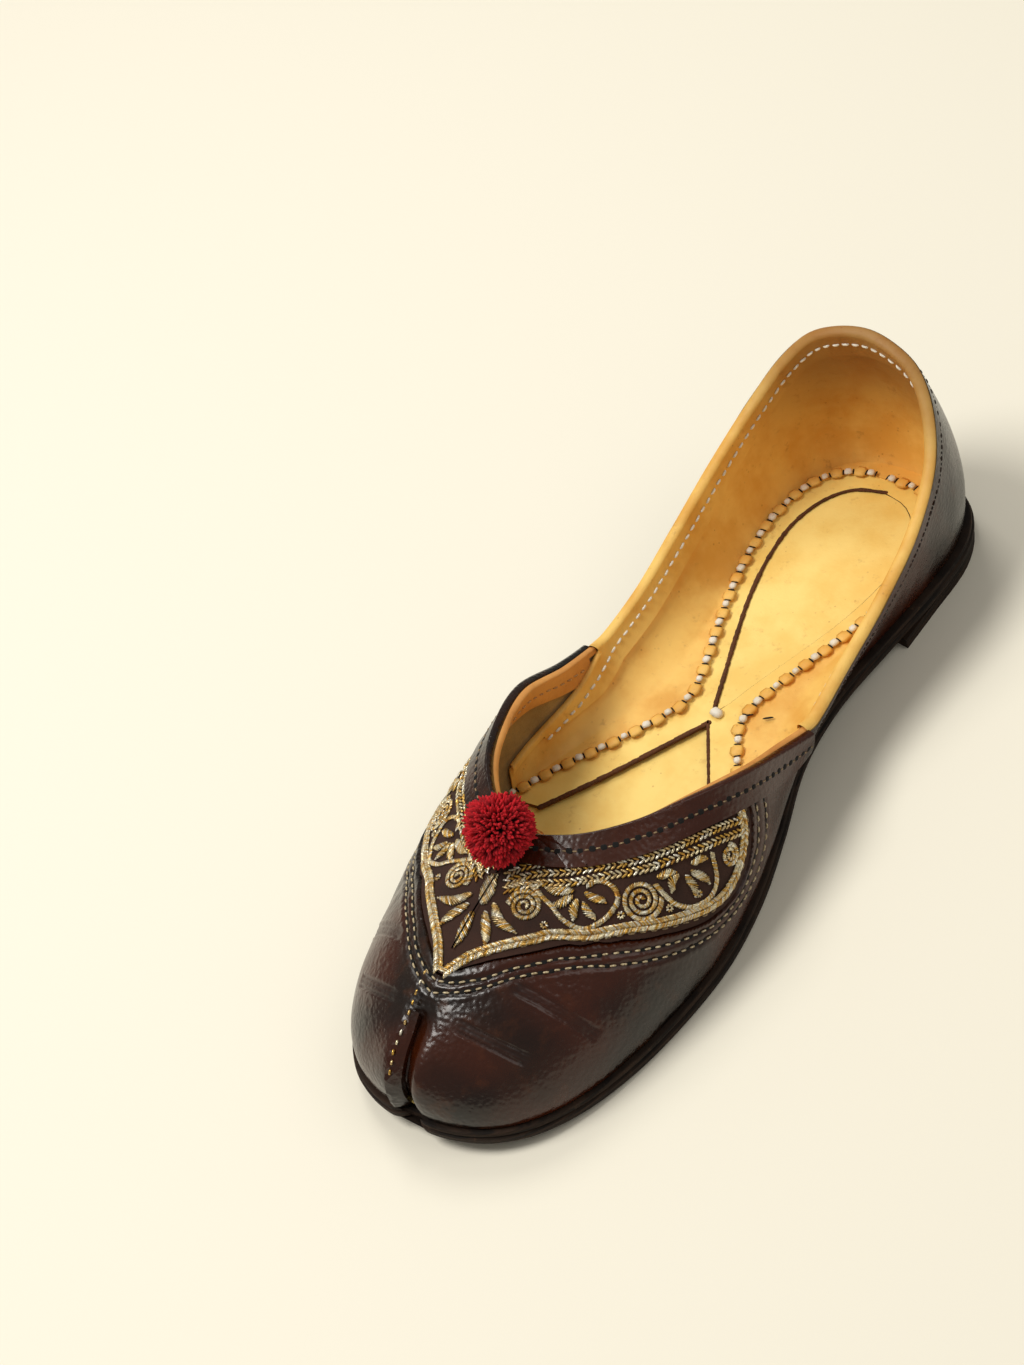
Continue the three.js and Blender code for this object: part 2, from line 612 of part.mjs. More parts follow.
const INSOLE_INSET = SOLE_LEDGE + WALL + 2 * GAP;
function makeInsole() {
  return plate([
    { inset: INSOLE_INSET, height: (along) => soleTop(along) + GAP },
    { inset: INSOLE_INSET, height: insoleTop },
  ], NOTCH_DEPTH + WALL);
}

const openingSide = (margin) => {
  const rows = PAD_OPENING.map((row) => at(Math.max(0, row.half * HALF.ball - margin), row.along * LENGTH, 0));
  const curve = new THREE.CatmullRomCurve3(rows, false, "centripetal");
  const side = curve.getPoints(22);
  side[0].x = 0;
  side[0].y -= margin;
  side.at(-1).x = 0;
  side.at(-1).y += margin * 4;
  return side;
};

// Frame on the insole: a strip round the heel pad that parts into two flaps toward the ball.
function makeFrame() {
  const full = plate([
    { inset: INSOLE_INSET + GAP, height: (along) => insoleTop(along) + GAP },
    { inset: INSOLE_INSET + GAP, height: frameTop },
  ], 0);
  const opening = prism(mirrorPoints(openingSide(0)).reverse(), 0, HEEL_HEIGHT);
  const spread = FLAP_SPREAD * HALF.ball;
  const wedge = prism([
    at(0, FLAP_START * LENGTH, 0),
    at(-spread, FLAP_END * LENGTH, 0),
    at(-BALL_WIDTH, FLAP_END * LENGTH + FLAP_DROP, 0),
    at(-BALL_WIDTH, LENGTH + BEYOND, 0),
    at(BALL_WIDTH, LENGTH + BEYOND, 0),
    at(BALL_WIDTH, FLAP_END * LENGTH + FLAP_DROP, 0),
    at(spread, FLAP_END * LENGTH, 0),
  ], 0, HEEL_HEIGHT);
  return full.subtract(opening).subtract(wedge);
}

function makePad() {
  const low = plate([
    { inset: INSOLE_INSET + GAP, height: (along) => insoleTop(along) + GAP },
    { inset: INSOLE_INSET + GAP, height: (along) => insoleTop(along) + GAP + PAD_THICKNESS },
  ], 0);
  return low.intersect(prism(mirrorPoints(openingSide(GAP)).reverse(), 0, HEEL_HEIGHT));
}

// Pompom: a ball of wool with pointed locks spread over it by the golden angle, on the knot of
// yarn that it is sewn down by.
function makePompom() {
  const radius = POMPOM_DIAMETER / 2;
  const seat = ridge.getPointAt(POMPOM_AHEAD / ridge.getLength());
  const under = seat.z + GAP + TRIM_THICKNESS + 2 * GAP;
  const centre = at(0, alongOf(seat), under + radius);
  const core = new THREE.IcosahedronGeometry(radius * 0.78, 2);
  let ball = fromGeometry(core);
  const locks = 42;
  for (let k = 0; k < locks; k += 1) {
    const height = 1 - (2 * (k + 0.5)) / locks;
    const turn = k * Math.PI * (3 - Math.sqrt(5));
    const flat = Math.sqrt(1 - height ** 2);
    const direction = new THREE.Vector3(flat * Math.cos(turn), flat * Math.sin(turn), height);
    const reach = radius * (0.92 + 0.08 * Math.sin(k * 2.4));
    const lock = new THREE.ConeGeometry(radius * 0.2, reach - radius * 0.5, 5);
    lock.translate(0, (reach + radius * 0.5) / 2, 0);
    lock.applyQuaternion(new THREE.Quaternion().setFromUnitVectors(new THREE.Vector3(0, 1, 0), direction));
    ball = ball.add(fromGeometry(lock));
  }
  const knot = new THREE.CylinderGeometry(radius * 0.3, radius * 0.3, radius, 12);
  knot.rotateX(Math.PI / 2);
  knot.translate(0, 0, -radius / 2);
  return ball.add(fromGeometry(knot)).translate([centre.x, centre.y, centre.z]);
}

function meshOf(name, solid, color, roughness) {
  const mesh = solid.getMesh();
  const geometry = new THREE.BufferGeometry();
  geometry.setAttribute("position", new THREE.BufferAttribute(new Float32Array(mesh.vertProperties), 3));
  geometry.setIndex(new THREE.BufferAttribute(new Uint32Array(mesh.triVerts), 1));
  geometry.computeVertexNormals();
  const material = new THREE.MeshStandardMaterial({ color, roughness, metalness: 0 });
  const node = new THREE.Mesh(geometry, material);
  node.name = name;
  return node;
}

const shoe = new THREE.Group();
shoe.add(meshOf("outsole", makeOutsole(), 0x17110e, 0.7));
shoe.add(meshOf("heel_lift", makeLift(), 0x120e0c, 0.75));
shoe.add(meshOf("upper", makeUpper(), 0x2a1710, 0.35));
shoe.add(meshOf("embroidered_panel", makePanel(), 0xb79a52, 0.5));
shoe.add(meshOf("throat_binding", makeBinding(), 0x33211a, 0.4));
shoe.add(meshOf("toe_seam_tab", makeSeamTab(), 0x2c1a12, 0.4));
shoe.add(meshOf("quarter_lining", makeLining(), 0xd49a4c, 0.6));
shoe.add(meshOf("quarter_band", makeBand(), 0xc98f45, 0.55));
shoe.add(meshOf("vamp_facing", makeFacing(), 0xb9793a, 0.6));
shoe.add(meshOf("insole", makeInsole(), 0xd8a558, 0.6));
shoe.add(meshOf("insole_frame", makeFrame(), 0xe0ad5f, 0.6));
shoe.add(meshOf("heel_pad", makePad(), 0xe3b266, 0.55));
shoe.add(meshOf("pompom", makePompom(), 0x8e0f1c, 0.95));

export default shoe;
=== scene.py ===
# %% [markdown]
# A mojari is a flat slip-on shoe, sewn from a few pieces of leather over a straight last. Its vamp
# carries an embroidered V panel, its toe is pinched into a cleft, and a wool pompom sits on the
# throat. This lesson dresses a plain CAD model of it, one leather piece at a time.

# %% Load the CAD model as a fixed frame
import math

import bpy
import numpy as np
from mathutils import Matrix, Vector
from mathutils.bvhtree import BVHTree
from mathutils.kdtree import KDTree


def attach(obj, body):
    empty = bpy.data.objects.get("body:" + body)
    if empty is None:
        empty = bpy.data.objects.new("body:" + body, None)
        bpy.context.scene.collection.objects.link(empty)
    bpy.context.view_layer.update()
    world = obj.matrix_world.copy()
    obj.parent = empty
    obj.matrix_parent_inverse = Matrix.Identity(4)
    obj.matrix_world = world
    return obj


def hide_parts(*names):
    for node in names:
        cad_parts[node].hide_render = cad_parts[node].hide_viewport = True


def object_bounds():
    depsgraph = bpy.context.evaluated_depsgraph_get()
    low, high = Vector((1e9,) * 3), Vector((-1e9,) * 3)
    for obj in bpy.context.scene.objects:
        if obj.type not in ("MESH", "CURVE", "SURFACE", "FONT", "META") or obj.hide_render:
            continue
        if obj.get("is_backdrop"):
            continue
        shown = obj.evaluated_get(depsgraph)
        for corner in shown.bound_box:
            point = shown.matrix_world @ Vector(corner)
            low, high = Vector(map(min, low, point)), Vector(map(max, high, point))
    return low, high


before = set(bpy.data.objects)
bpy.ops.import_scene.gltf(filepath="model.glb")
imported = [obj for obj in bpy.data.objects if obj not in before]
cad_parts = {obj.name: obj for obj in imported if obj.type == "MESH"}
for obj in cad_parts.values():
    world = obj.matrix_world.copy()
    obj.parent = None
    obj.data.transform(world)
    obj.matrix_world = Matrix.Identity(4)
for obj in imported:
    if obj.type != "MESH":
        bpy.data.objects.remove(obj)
CAD_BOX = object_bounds()
MM = 0.001


def in_mm(box):
    """A box in metres as rounded millimetres, to print."""
    return [[round(v / MM, 1) for v in corner] for corner in box]


print("CAD box in mm:", in_mm(CAD_BOX))

# %% [markdown]
# All the leather follows one last, so the shape is described once, as a few tables of lengths in
# millimetres or shares of named sizes, and every piece is laid on it at its own height. The toe
# points along -Y and the origin is under the middle of the heel.

# %% Sizes of the shoe
LENGTH = 252.0
HEEL_SEAT = 34.0
HEEL_HALF = 31.0
WAIST_HALF = 27.5
BALL_HALF = 45.5
TOE_HALF = 30.0
SOLE_THICKNESS = 4.6
LIFT_THICKNESS = 3.4
LIFT_LENGTH = 58.0
ARCH_RISE = 1.4
TOE_SPRING = 5.0
HEEL_HEIGHT = 69.0
WAIST_HEIGHT = 24.5
THROAT_HEIGHT = 47.0
TOE_HEIGHT = 23.0
THROAT_PLACE = 183.0
WALL = 2.2
VAMP_STEP = 0.8
SOLE_LEDGE = 1.8
NOTCH_DEPTH = 3.5
NOTCH_WIDTH = 3.0
NOTCH_START = 26.0
NOTCH_FULL = 5.0
NOTCH_HEART_BACK = 20.0
NOTCH_HEART_HEIGHT = 12.0
INSOLE_THICKNESS = 1.6
FRAME_THICKNESS = 1.2
LINING_THICKNESS = 0.9
BAND_WIDTH = 9.5
FACING_WIDTH = 7.5
BINDING_WIDTH = 8.5
TRIM_THICKNESS = 0.8
PANEL_RECESS = 1.2
GAP = 0.3

# Heights over the last, in millimetres, of the faces that the pieces show.
TRIM_FACE = GAP + TRIM_THICKNESS
LINING_FACE = -WALL - GAP - LINING_THICKNESS
BAND_BACK = -WALL - LINING_THICKNESS - 2 * GAP
BAND_FACE = BAND_BACK - TRIM_THICKNESS
FACING_FACE = -WALL - GAP - TRIM_THICKNESS

# %% Tables of the outline, topline, ridge and ribs
HALF = {"heel": HEEL_HALF, "waist": WAIST_HALF, "ball": BALL_HALF, "toe": TOE_HALF}
HIGH = {"heel": HEEL_HEIGHT, "waist": WAIST_HEIGHT, "throat": THROAT_HEIGHT, "toe": TOE_HEIGHT}

# Columns: along as a share of the length, half as a share of the named half width.
OUTLINE = [
    (0.000, 0.00, "heel"), (0.005, 0.29, "heel"), (0.020, 0.58, "heel"), (0.047, 0.82, "heel"),
    (0.094, 0.98, "heel"), (0.165, 1.00, "heel"), (0.250, 0.94, "heel"), (0.345, 1.00, "waist"),
    (0.430, 1.07, "waist"), (0.518, 0.80, "ball"), (0.608, 0.94, "ball"), (0.686, 1.00, "ball"),
    (0.765, 0.98, "ball"), (0.840, 0.91, "ball"), (0.902, 1.22, "toe"), (0.949, 1.00, "toe"),
    (0.979, 0.73, "toe"), (0.994, 0.46, "toe"), (1.000, 0.21, "toe"), (1.000, 0.00, "toe"),
]

# Columns: along as a share of the throat's place, half, its name, height share, its name.
TOPLINE = [
    (0.046, 0.00, "heel", 1.000, "heel"), (0.054, 0.32, "heel", 0.985, "heel"),
    (0.070, 0.60, "heel", 0.938, "heel"), (0.103, 0.83, "heel", 0.845, "heel"),
    (0.163, 1.03, "heel", 0.705, "heel"), (0.261, 1.15, "heel", 0.570, "heel"),
    (0.380, 1.18, "heel", 1.300, "waist"), (0.490, 1.33, "waist", 1.090, "waist"),
    (0.572, 1.36, "waist", 1.000, "waist"), (0.592, 1.37, "waist", 1.010, "waist"),
    (0.670, 0.81, "ball", 0.649, "throat"), (0.760, 0.80, "ball", 0.830, "throat"),
    (0.840, 0.69, "ball", 0.928, "throat"), (0.915, 0.53, "ball", 0.974, "throat"),
    (0.975, 0.28, "ball", 0.994, "throat"), (1.000, 0.00, "ball", 1.000, "throat"),
]

# Columns: share of the way from the throat to the toe, height share, its name.
RIDGE = [
    (0.000, 1.000, "throat"), (0.210, 0.945, "throat"), (0.420, 0.880, "throat"),
    (0.620, 0.785, "throat"), (0.770, 0.685, "throat"), (0.890, 1.220, "toe"),
    (0.950, 1.000, "toe"),
]

# Columns: foot share, top share, outward degrees, lower handle, inward degrees, upper handle,
# and how far the upper handle turns from the outline's normal to straight across.
RIBS = np.array([
    (0.000, 0.000, 17, 0.30, 15, 0.34, 0.0), (0.050, 0.045, 17, 0.30, 15, 0.34, 0.0),
    (0.098, 0.110, 16, 0.30, 14, 0.34, 0.0), (0.142, 0.200, 16, 0.30, 10, 0.33, 0.0),
    (0.213, 0.295, 18, 0.32, 2, 0.33, 0.0), (0.297, 0.405, 24, 0.34, -6, 0.33, 0.0),
    (0.382, 0.515, 34, 0.36, -12, 0.33, 0.0), (0.441, 0.590, 36, 0.36, -8, 0.33, 0.0),
    (0.503, 0.652, 32, 0.36, 2, 0.33, 0.1), (0.574, 0.730, 26, 0.36, 16, 0.34, 0.2),
    (0.635, 0.800, 20, 0.34, 36, 0.36, 0.4), (0.693, 0.872, 15, 0.31, 55, 0.38, 0.6),
    (0.743, 0.934, 12, 0.29, 70, 0.40, 0.8), (0.792, 1.000, 11, 0.27, 83, 0.42, 1.0),
    (0.836, 1.220, 12, 0.27, 88, 0.42, 1.0), (0.875, 1.420, 13, 0.28, 88, 0.42, 1.0),
    (0.907, 1.620, 14, 0.29, 88, 0.41, 1.0), (0.939, 1.775, 15, 0.31, 84, 0.40, 0.9),
    (0.966, 1.890, 16, 0.33, 76, 0.38, 0.7), (0.985, 1.960, 16, 0.35, 62, 0.36, 0.4),
    (1.000, 2.000, 16, 0.36, 48, 0.36, 0.0),
])
VAMP_RIB = 7.0
THROAT_RIB = 13.0
TOE_RIB = 20.0
CREASE_RIBS = 1.9
CREASE_SPREAD = 0.75

# Lower edge of the embroidered panel: rib number and height along the rib.
PANEL_EDGE = np.array([
    (9.05, 0.800), (9.12, 0.660), (9.24, 0.510), (9.42, 0.410),
    (9.70, 0.350), (10.10, 0.345), (10.53, 0.374), (11.00, 0.425),
    (11.50, 0.472), (12.05, 0.505), (12.80, 0.543), (13.40, 0.585),
    (13.90, 0.645), (14.40, 0.705), (14.85, 0.768), (15.30, 0.845),
    (15.62, 0.912), (15.90, 0.980),
])

# Columns of the next two: along as a share of the length, half as a share of the ball's half.
# The first is the row of thongs inside, the second the opening that shows the heel pad.
THONG_LINE = [
    (0.052, 0.00), (0.056, 0.23), (0.083, 0.43), (0.140, 0.53), (0.200, 0.52), (0.255, 0.46),
    (0.315, 0.36), (0.375, 0.25), (0.415, 0.20), (0.445, 0.25), (0.500, 0.44), (0.555, 0.66),
    (0.610, 0.83),
]
PAD_OPENING = [
    (0.070, 0.00), (0.080, 0.19), (0.105, 0.32), (0.150, 0.40), (0.205, 0.39), (0.265, 0.32),
    (0.325, 0.21), (0.380, 0.10), (0.425, 0.015),
]
# Where the cut between the two front flaps starts and ends, and how far it has spread there.
FLAP_START = 0.440
FLAP_END = 0.610
FLAP_SPREAD = 0.62

# %% [markdown]
# The smooth lines through those tables are centripetal Catmull-Rom curves, measured along their
# length. The ribs of the upper are Bezier curves from the sole's edge up to the topline or ridge.

# %% Curves through the tables


def place(along, across, height):
    """Point in millimetres from a distance along the shoe, across it and up."""
    return np.array([across, HEEL_SEAT - along, height], float)


def unit(vectors):
    """The same directions with length 1."""
    return vectors / np.maximum(np.linalg.norm(vectors, axis=-1, keepdims=True), 1e-9)


def cubic(t, start, end, start_slope, end_slope):
    """The cubic between two values with these slopes, at t from 0 to 1."""
    near = (2 * t**3 - 3 * t**2 + 1) * start + (t**3 - 2 * t**2 + t) * start_slope
    return near + (-2 * t**3 + 3 * t**2) * end + (t**3 - t**2) * end_slope


def catmull_rom(points, closed, per_span=60):
    """Dense points of a centripetal Catmull-Rom curve, with the length up to each."""
    points = np.array(points, float)
    if closed:
        ring = np.vstack([points[-1:], points, points[:2]])
    else:
        first = 2 * points[0] - points[1]
        last = 2 * points[-1] - points[-2]
        ring = np.vstack([first, points, last])
    t = np.linspace(0, 1, per_span, endpoint=False)[:, None]
    dense = []
    for a, b, c, d in zip(ring, ring[1:], ring[2:], ring[3:]):
        gaps = [max(1e-4, np.linalg.norm(q - p) ** 0.5) for p, q in ((a, b), (b, c), (c, d))]
        start = (b - a) / gaps[0] - (c - a) / (gaps[0] + gaps[1]) + (c - b) / gaps[1]
        end = (c - b) / gaps[1] - (d - b) / (gaps[1] + gaps[2]) + (d - c) / gaps[2]
        dense.append(cubic(t, b, c, start * gaps[1], end * gaps[1]))
    dense.append(ring[-2][None])
    dense = np.vstack(dense)
    lengths = np.concatenate([[0], np.cumsum(np.linalg.norm(np.diff(dense, axis=0), axis=1))])
    return dense, lengths


def both_sides(points):
    """A closed loop from its +X side, heel to toe."""
    side = [np.array(p, float) for p in points]
    mirrored = [p * [-1, 1, 1] for p in side[1:-1]][::-1]
    return side + mirrored


def along_curve(curve, share):
    """Point at a share of the whole curve's length."""
    dense, lengths = curve
    wanted = np.asarray(share) * lengths[-1]
    return np.stack([np.interp(wanted, lengths, dense[:, k]) for k in range(3)], axis=-1)


def direction(curve, share):
    """Unit tangent there."""
    step = 5e-4
    ahead = along_curve(curve, np.minimum(np.asarray(share) + step, 1))
    behind = along_curve(curve, np.maximum(np.asarray(share) - step, 0))
    return unit(ahead - behind)


OUTLINE_CURVE = catmull_rom(
    both_sides([place(s * LENGTH, h * HALF[by], 0) for s, h, by in OUTLINE]), True
)
TOPLINE_CURVE = catmull_rom(
    both_sides([
        place(s * THROAT_PLACE, h * HALF[by], z * HIGH[of]) for s, h, by, z, of in TOPLINE
    ]),
    True,
)
RIDGE_CURVE = catmull_rom(
    [place(THROAT_PLACE + s * (LENGTH - THROAT_PLACE), 0, z * HIGH[of]) for s, z, of in RIDGE],
    False,
)
print("outline length in mm:", round(OUTLINE_CURVE[1][-1], 1))

# %% Heights of the sole and the insole


def smooth(value, start, end):
    """0 before start, 1 after end, and an S between."""
    t = np.clip((np.asarray(value, float) - start) / (end - start), 0, 1)
    return t * t * (3 - 2 * t)


def bell(distance, width):
    """1 at no distance, and nearly 0 from twice the width on."""
    return np.exp(-((distance / width) ** 2))


BALL_START = 0.59 * LENGTH
SPRING_START = 0.80 * LENGTH


def sole_bottom(along):
    """Height of the sole's underside: raised at the heel, flat at the ball, sprung at the toe."""
    lifted = (LIFT_THICKNESS + GAP) * (1 - smooth(along, LIFT_LENGTH, BALL_START))
    way = np.clip((along - LIFT_LENGTH) / (BALL_START - LIFT_LENGTH), 0, 1)
    spring = np.clip((along - SPRING_START) / (LENGTH - SPRING_START), 0, None) ** 2
    return lifted + ARCH_RISE * np.sin(np.pi * way) ** 2 + TOE_SPRING * spring


def insole_top(along):
    """Height of the insole's upper face."""
    return sole_bottom(along) + SOLE_THICKNESS + GAP + INSOLE_THICKNESS


def frame_top(along):
    """Height of the frame that lies on the insole."""
    return insole_top(along) + GAP + FRAME_THICKNESS


# %% The upper's own surface


def column(place_in_table, k):
    """Column k of the rib table at a rib number, by a Catmull-Rom curve over the rows."""
    last = len(RIBS) - 1
    i = np.clip(np.floor(place_in_table).astype(int), 0, last - 1)
    t = place_in_table - i
    a, b, c, d = (RIBS[np.clip(i + n, 0, last), k] for n in (-1, 0, 1, 2))
    return cubic(t, b, c, (c - a) / 2, (d - b) / 2)


def outline_inside(shares, inset):
    """Points of the +X side's outline moved in, with the outward normals there."""
    tangent = direction(OUTLINE_CURVE, shares / 2)
    normal = unit(np.stack([-tangent[..., 1], tangent[..., 0], 0 * shares], axis=-1))
    return along_curve(OUTLINE_CURVE, shares / 2) - normal * inset, normal


def sharp_skin(rib, v):
    """Outside of the upper before the crease under the throat is softened."""
    foot, normal = outline_inside(np.clip(column(rib, 0), 0, 1), SOLE_LEDGE)
    foot[..., 2] = sole_bottom(HEEL_SEAT - foot[..., 1]) + SOLE_THICKNESS + GAP
    top_share = column(rib, 1)
    on_topline = along_curve(TOPLINE_CURVE, np.clip(top_share, 0, 1) / 2)
    on_ridge = along_curve(RIDGE_CURVE, np.clip(top_share - 1, 0, 1))
    top = np.where((rib < THROAT_RIB)[..., None], on_topline, on_ridge)
    chord = np.linalg.norm(top - foot, axis=-1, keepdims=True)
    outward, inward = (np.radians(column(rib, k))[..., None] for k in (2, 4))
    low_handle, high_handle = (column(rib, k)[..., None] * chord for k in (3, 5))
    turned = column(rib, 6)[..., None]
    across = unit(normal * (1 - turned) + np.array([1.0, 0, 0]) * turned)
    up = np.array([0, 0, 1.0])
    lower = foot + low_handle * (np.sin(outward) * normal + np.cos(outward) * up)
    upper = top + high_handle * (np.sin(inward) * across - np.cos(inward) * up)
    t = v[..., None]
    point = (1 - t) ** 3 * foot + 3 * (1 - t) ** 2 * t * lower
    point = point + 3 * (1 - t) * t**2 * upper + t**3 * top
    seam = on_seam(rib, v)
    point[..., 0] = np.where(seam, 0, point[..., 0])
    along = HEEL_SEAT - point[..., 1]
    depth = NOTCH_DEPTH * smooth(along, LENGTH - NOTCH_START, LENGTH - NOTCH_FULL)
    pull = depth * bell(point[..., 0], NOTCH_WIDTH)
    heart = place(LENGTH - NOTCH_HEART_BACK, 0, NOTCH_HEART_HEIGHT) - point
    heart[..., 0] = 0
    return point + unit(heart) * pull[..., None]


def skin(rib, v):
    """Outside of the upper on the +X side, at rib numbers and heights along the ribs."""
    rib, v = np.broadcast_arrays(np.asarray(rib, float), np.asarray(v, float))
    near = np.cos(np.clip((rib - THROAT_RIB) / CREASE_RIBS, -1, 1) * np.pi / 2) ** 2
    spread = CREASE_SPREAD * near * np.sin(np.pi * np.clip(v, 0, 1)) ** 0.7
    soft = 0.5 * sharp_skin(rib, v)
    return soft + 0.25 * sharp_skin(rib - spread, v) + 0.25 * sharp_skin(rib + spread, v)


def on_seam(rib, v):
    """True on the middle plane: heel back, toe front and ridge."""
    return (rib <= 0) | (rib >= TOE_RIB) | ((v >= 1) & (rib >= THROAT_RIB))


def skin_normal(rib, v):
    """Outward unit normal of that surface."""
    rib, v = np.broadcast_arrays(np.asarray(rib, float), np.asarray(v, float))
    rib_step = np.where(rib > TOE_RIB - 0.02, -0.01, 0.01)
    v_step = np.where(v > 0.98, -0.01, 0.01)
    here = skin(rib, v)
    along_ribs = (skin(rib + rib_step, v) - here) / rib_step[..., None]
    up_rib = (skin(rib, v + v_step) - here) / v_step[..., None]
    normal = np.cross(up_rib, along_ribs)
    normal[..., 0] = np.where(on_seam(rib, v), 0, normal[..., 0])
    return unit(normal)


def skin_out(rib, v, offset):
    """The surface moved out by an offset in millimetres."""
    rib, v = np.broadcast_arrays(np.asarray(rib, float), np.asarray(v, float))
    here = skin(rib, v)
    moved = here + skin_normal(rib, v) * np.asarray(offset, float)[..., None]
    moved[..., 0] = np.where(on_seam(rib, v), 0, np.maximum(moved[..., 0], 0))
    moved[..., 2] = np.where(v <= 0, here[..., 2], moved[..., 2])
    return moved


def rib_length(rib):
    """Length of a rib from its foot to its top."""
    marks = skin(rib, np.linspace(0, 1, 33))
    return np.linalg.norm(np.diff(marks, axis=0), axis=1).sum()


TOPLINE_MARKS = along_curve(TOPLINE_CURVE, np.linspace(0, 0.5, 400))


def strip_edge(rib, width):
    """Height along a rib at a given width below the topline."""
    marks = np.linspace(1, 0.2, 161)
    points = skin(rib, marks)
    away = np.linalg.norm(points[:, None] - TOPLINE_MARKS[None], axis=2).min(axis=1)
    if rib > THROAT_RIB and away[0] >= width:
        return 1.0
    return float(np.interp(width, away[: away.argmax() + 1], marks[: away.argmax() + 1]))


# %% [markdown]
# Most pieces are sheets laid on the last. Each starts as Blender's grid primitive, whose points
# are moved onto the surface between two edges, so that a piece's own border is a clean cut line.
# A mirror makes the other side, and Solidify gives the leather its thickness.

# %% Laying a sheet of leather on the last


def clear_selection():
    """Leaves edit mode and selects nothing."""
    if bpy.context.object and bpy.context.object.mode != "OBJECT":
        bpy.ops.object.mode_set(mode="OBJECT")
    bpy.ops.object.select_all(action="DESELECT")


def select_only(obj):
    """Selects one object and makes it active."""
    clear_selection()
    obj.select_set(True)
    bpy.context.view_layer.objects.active = obj


def apply_modifier(obj, kind, **settings):
    """Adds a modifier with its settings and applies it."""
    select_only(obj)
    modifier = obj.modifiers.new(kind.title(), kind)
    for key, value in settings.items():
        setattr(modifier, key, value)
    bpy.ops.object.modifier_apply(modifier=modifier.name)


def grid_from(name, points):
    """A grid primitive with its vertices moved to points[i][j], in millimetres, and a UV map."""
    rows, columns = points.shape[:2]
    clear_selection()
    bpy.ops.mesh.primitive_grid_add(
        x_subdivisions=rows - 1, y_subdivisions=columns - 1, size=2, calc_uvs=True
    )
    obj = bpy.context.object
    obj.name = name
    obj.data.name = name
    flat = np.empty(len(obj.data.vertices) * 3)
    obj.data.vertices.foreach_get("co", flat)
    flat = flat.reshape(-1, 3)
    i = np.rint((flat[:, 0] + 1) / 2 * (rows - 1)).astype(int)
    j = np.rint((flat[:, 1] + 1) / 2 * (columns - 1)).astype(int)
    obj.data.vertices.foreach_set("co", (points[i, j] * MM).ravel())
    obj.data.update()
    return obj


def mirror(obj):
    """Makes the other side too, and welds both along the middle plane."""
    apply_modifier(obj, "MIRROR", use_axis=(True, False, False), use_clip=True,
                   use_mirror_merge=True, merge_threshold=5e-6)


def face_out(obj):
    """Welds what touches and turns the normals outward."""
    select_only(obj)
    bpy.ops.object.mode_set(mode="EDIT")
    bpy.ops.mesh.select_all(action="SELECT")
    bpy.ops.mesh.remove_doubles(threshold=2e-6)
    bpy.ops.mesh.normals_make_consistent(inside=False)
    bpy.ops.object.mode_set(mode="OBJECT")


def smooth_shading(obj, angle=40):
    """Smooth shading but for edges sharper than an angle in degrees."""
    select_only(obj)
    bpy.ops.object.shade_smooth_by_angle(angle=math.radians(angle))


def lay(name, ribs, low, high, rows, offset, thickness):
    """A sheet on the +X side between two heights on each rib, mirrored and given thickness.

    offset is the height of its outer face over the last, a number or a function of rib and v.
    """
    shares = np.linspace(0, 1, rows + 1)
    v = np.array([low(r) + (high(r) - low(r)) * shares for r in ribs])
    rib = np.repeat(np.asarray(ribs, float)[:, None], rows + 1, axis=1)
    points = skin_out(rib, v, offset(rib, v) if callable(offset) else offset)
    obj = grid_from(name, points)
    select_only(obj)
    centre = len(ribs) // 2, rows // 2
    outward = skin_normal(rib[centre], v[centre])
    spot = Vector(points[centre] * MM)
    middle = min(obj.data.polygons, key=lambda f: (f.center - spot).length)
    if middle.normal.dot(Vector(outward)) < 0:
        obj.data.flip_normals()
    mirror(obj)
    if thickness:
        apply_modifier(obj, "SOLIDIFY", thickness=thickness * MM, offset=-1, use_even_offset=False,
                       material_offset=1, material_offset_rim=0)
    smooth_shading(obj)
    return obj


# %% [markdown]
# Leather colours are mixed from noise in the object's own millimetres, so that the grain, the
# burnishing and the wear keep their real size on every piece.

# %% A short way to write material nodes


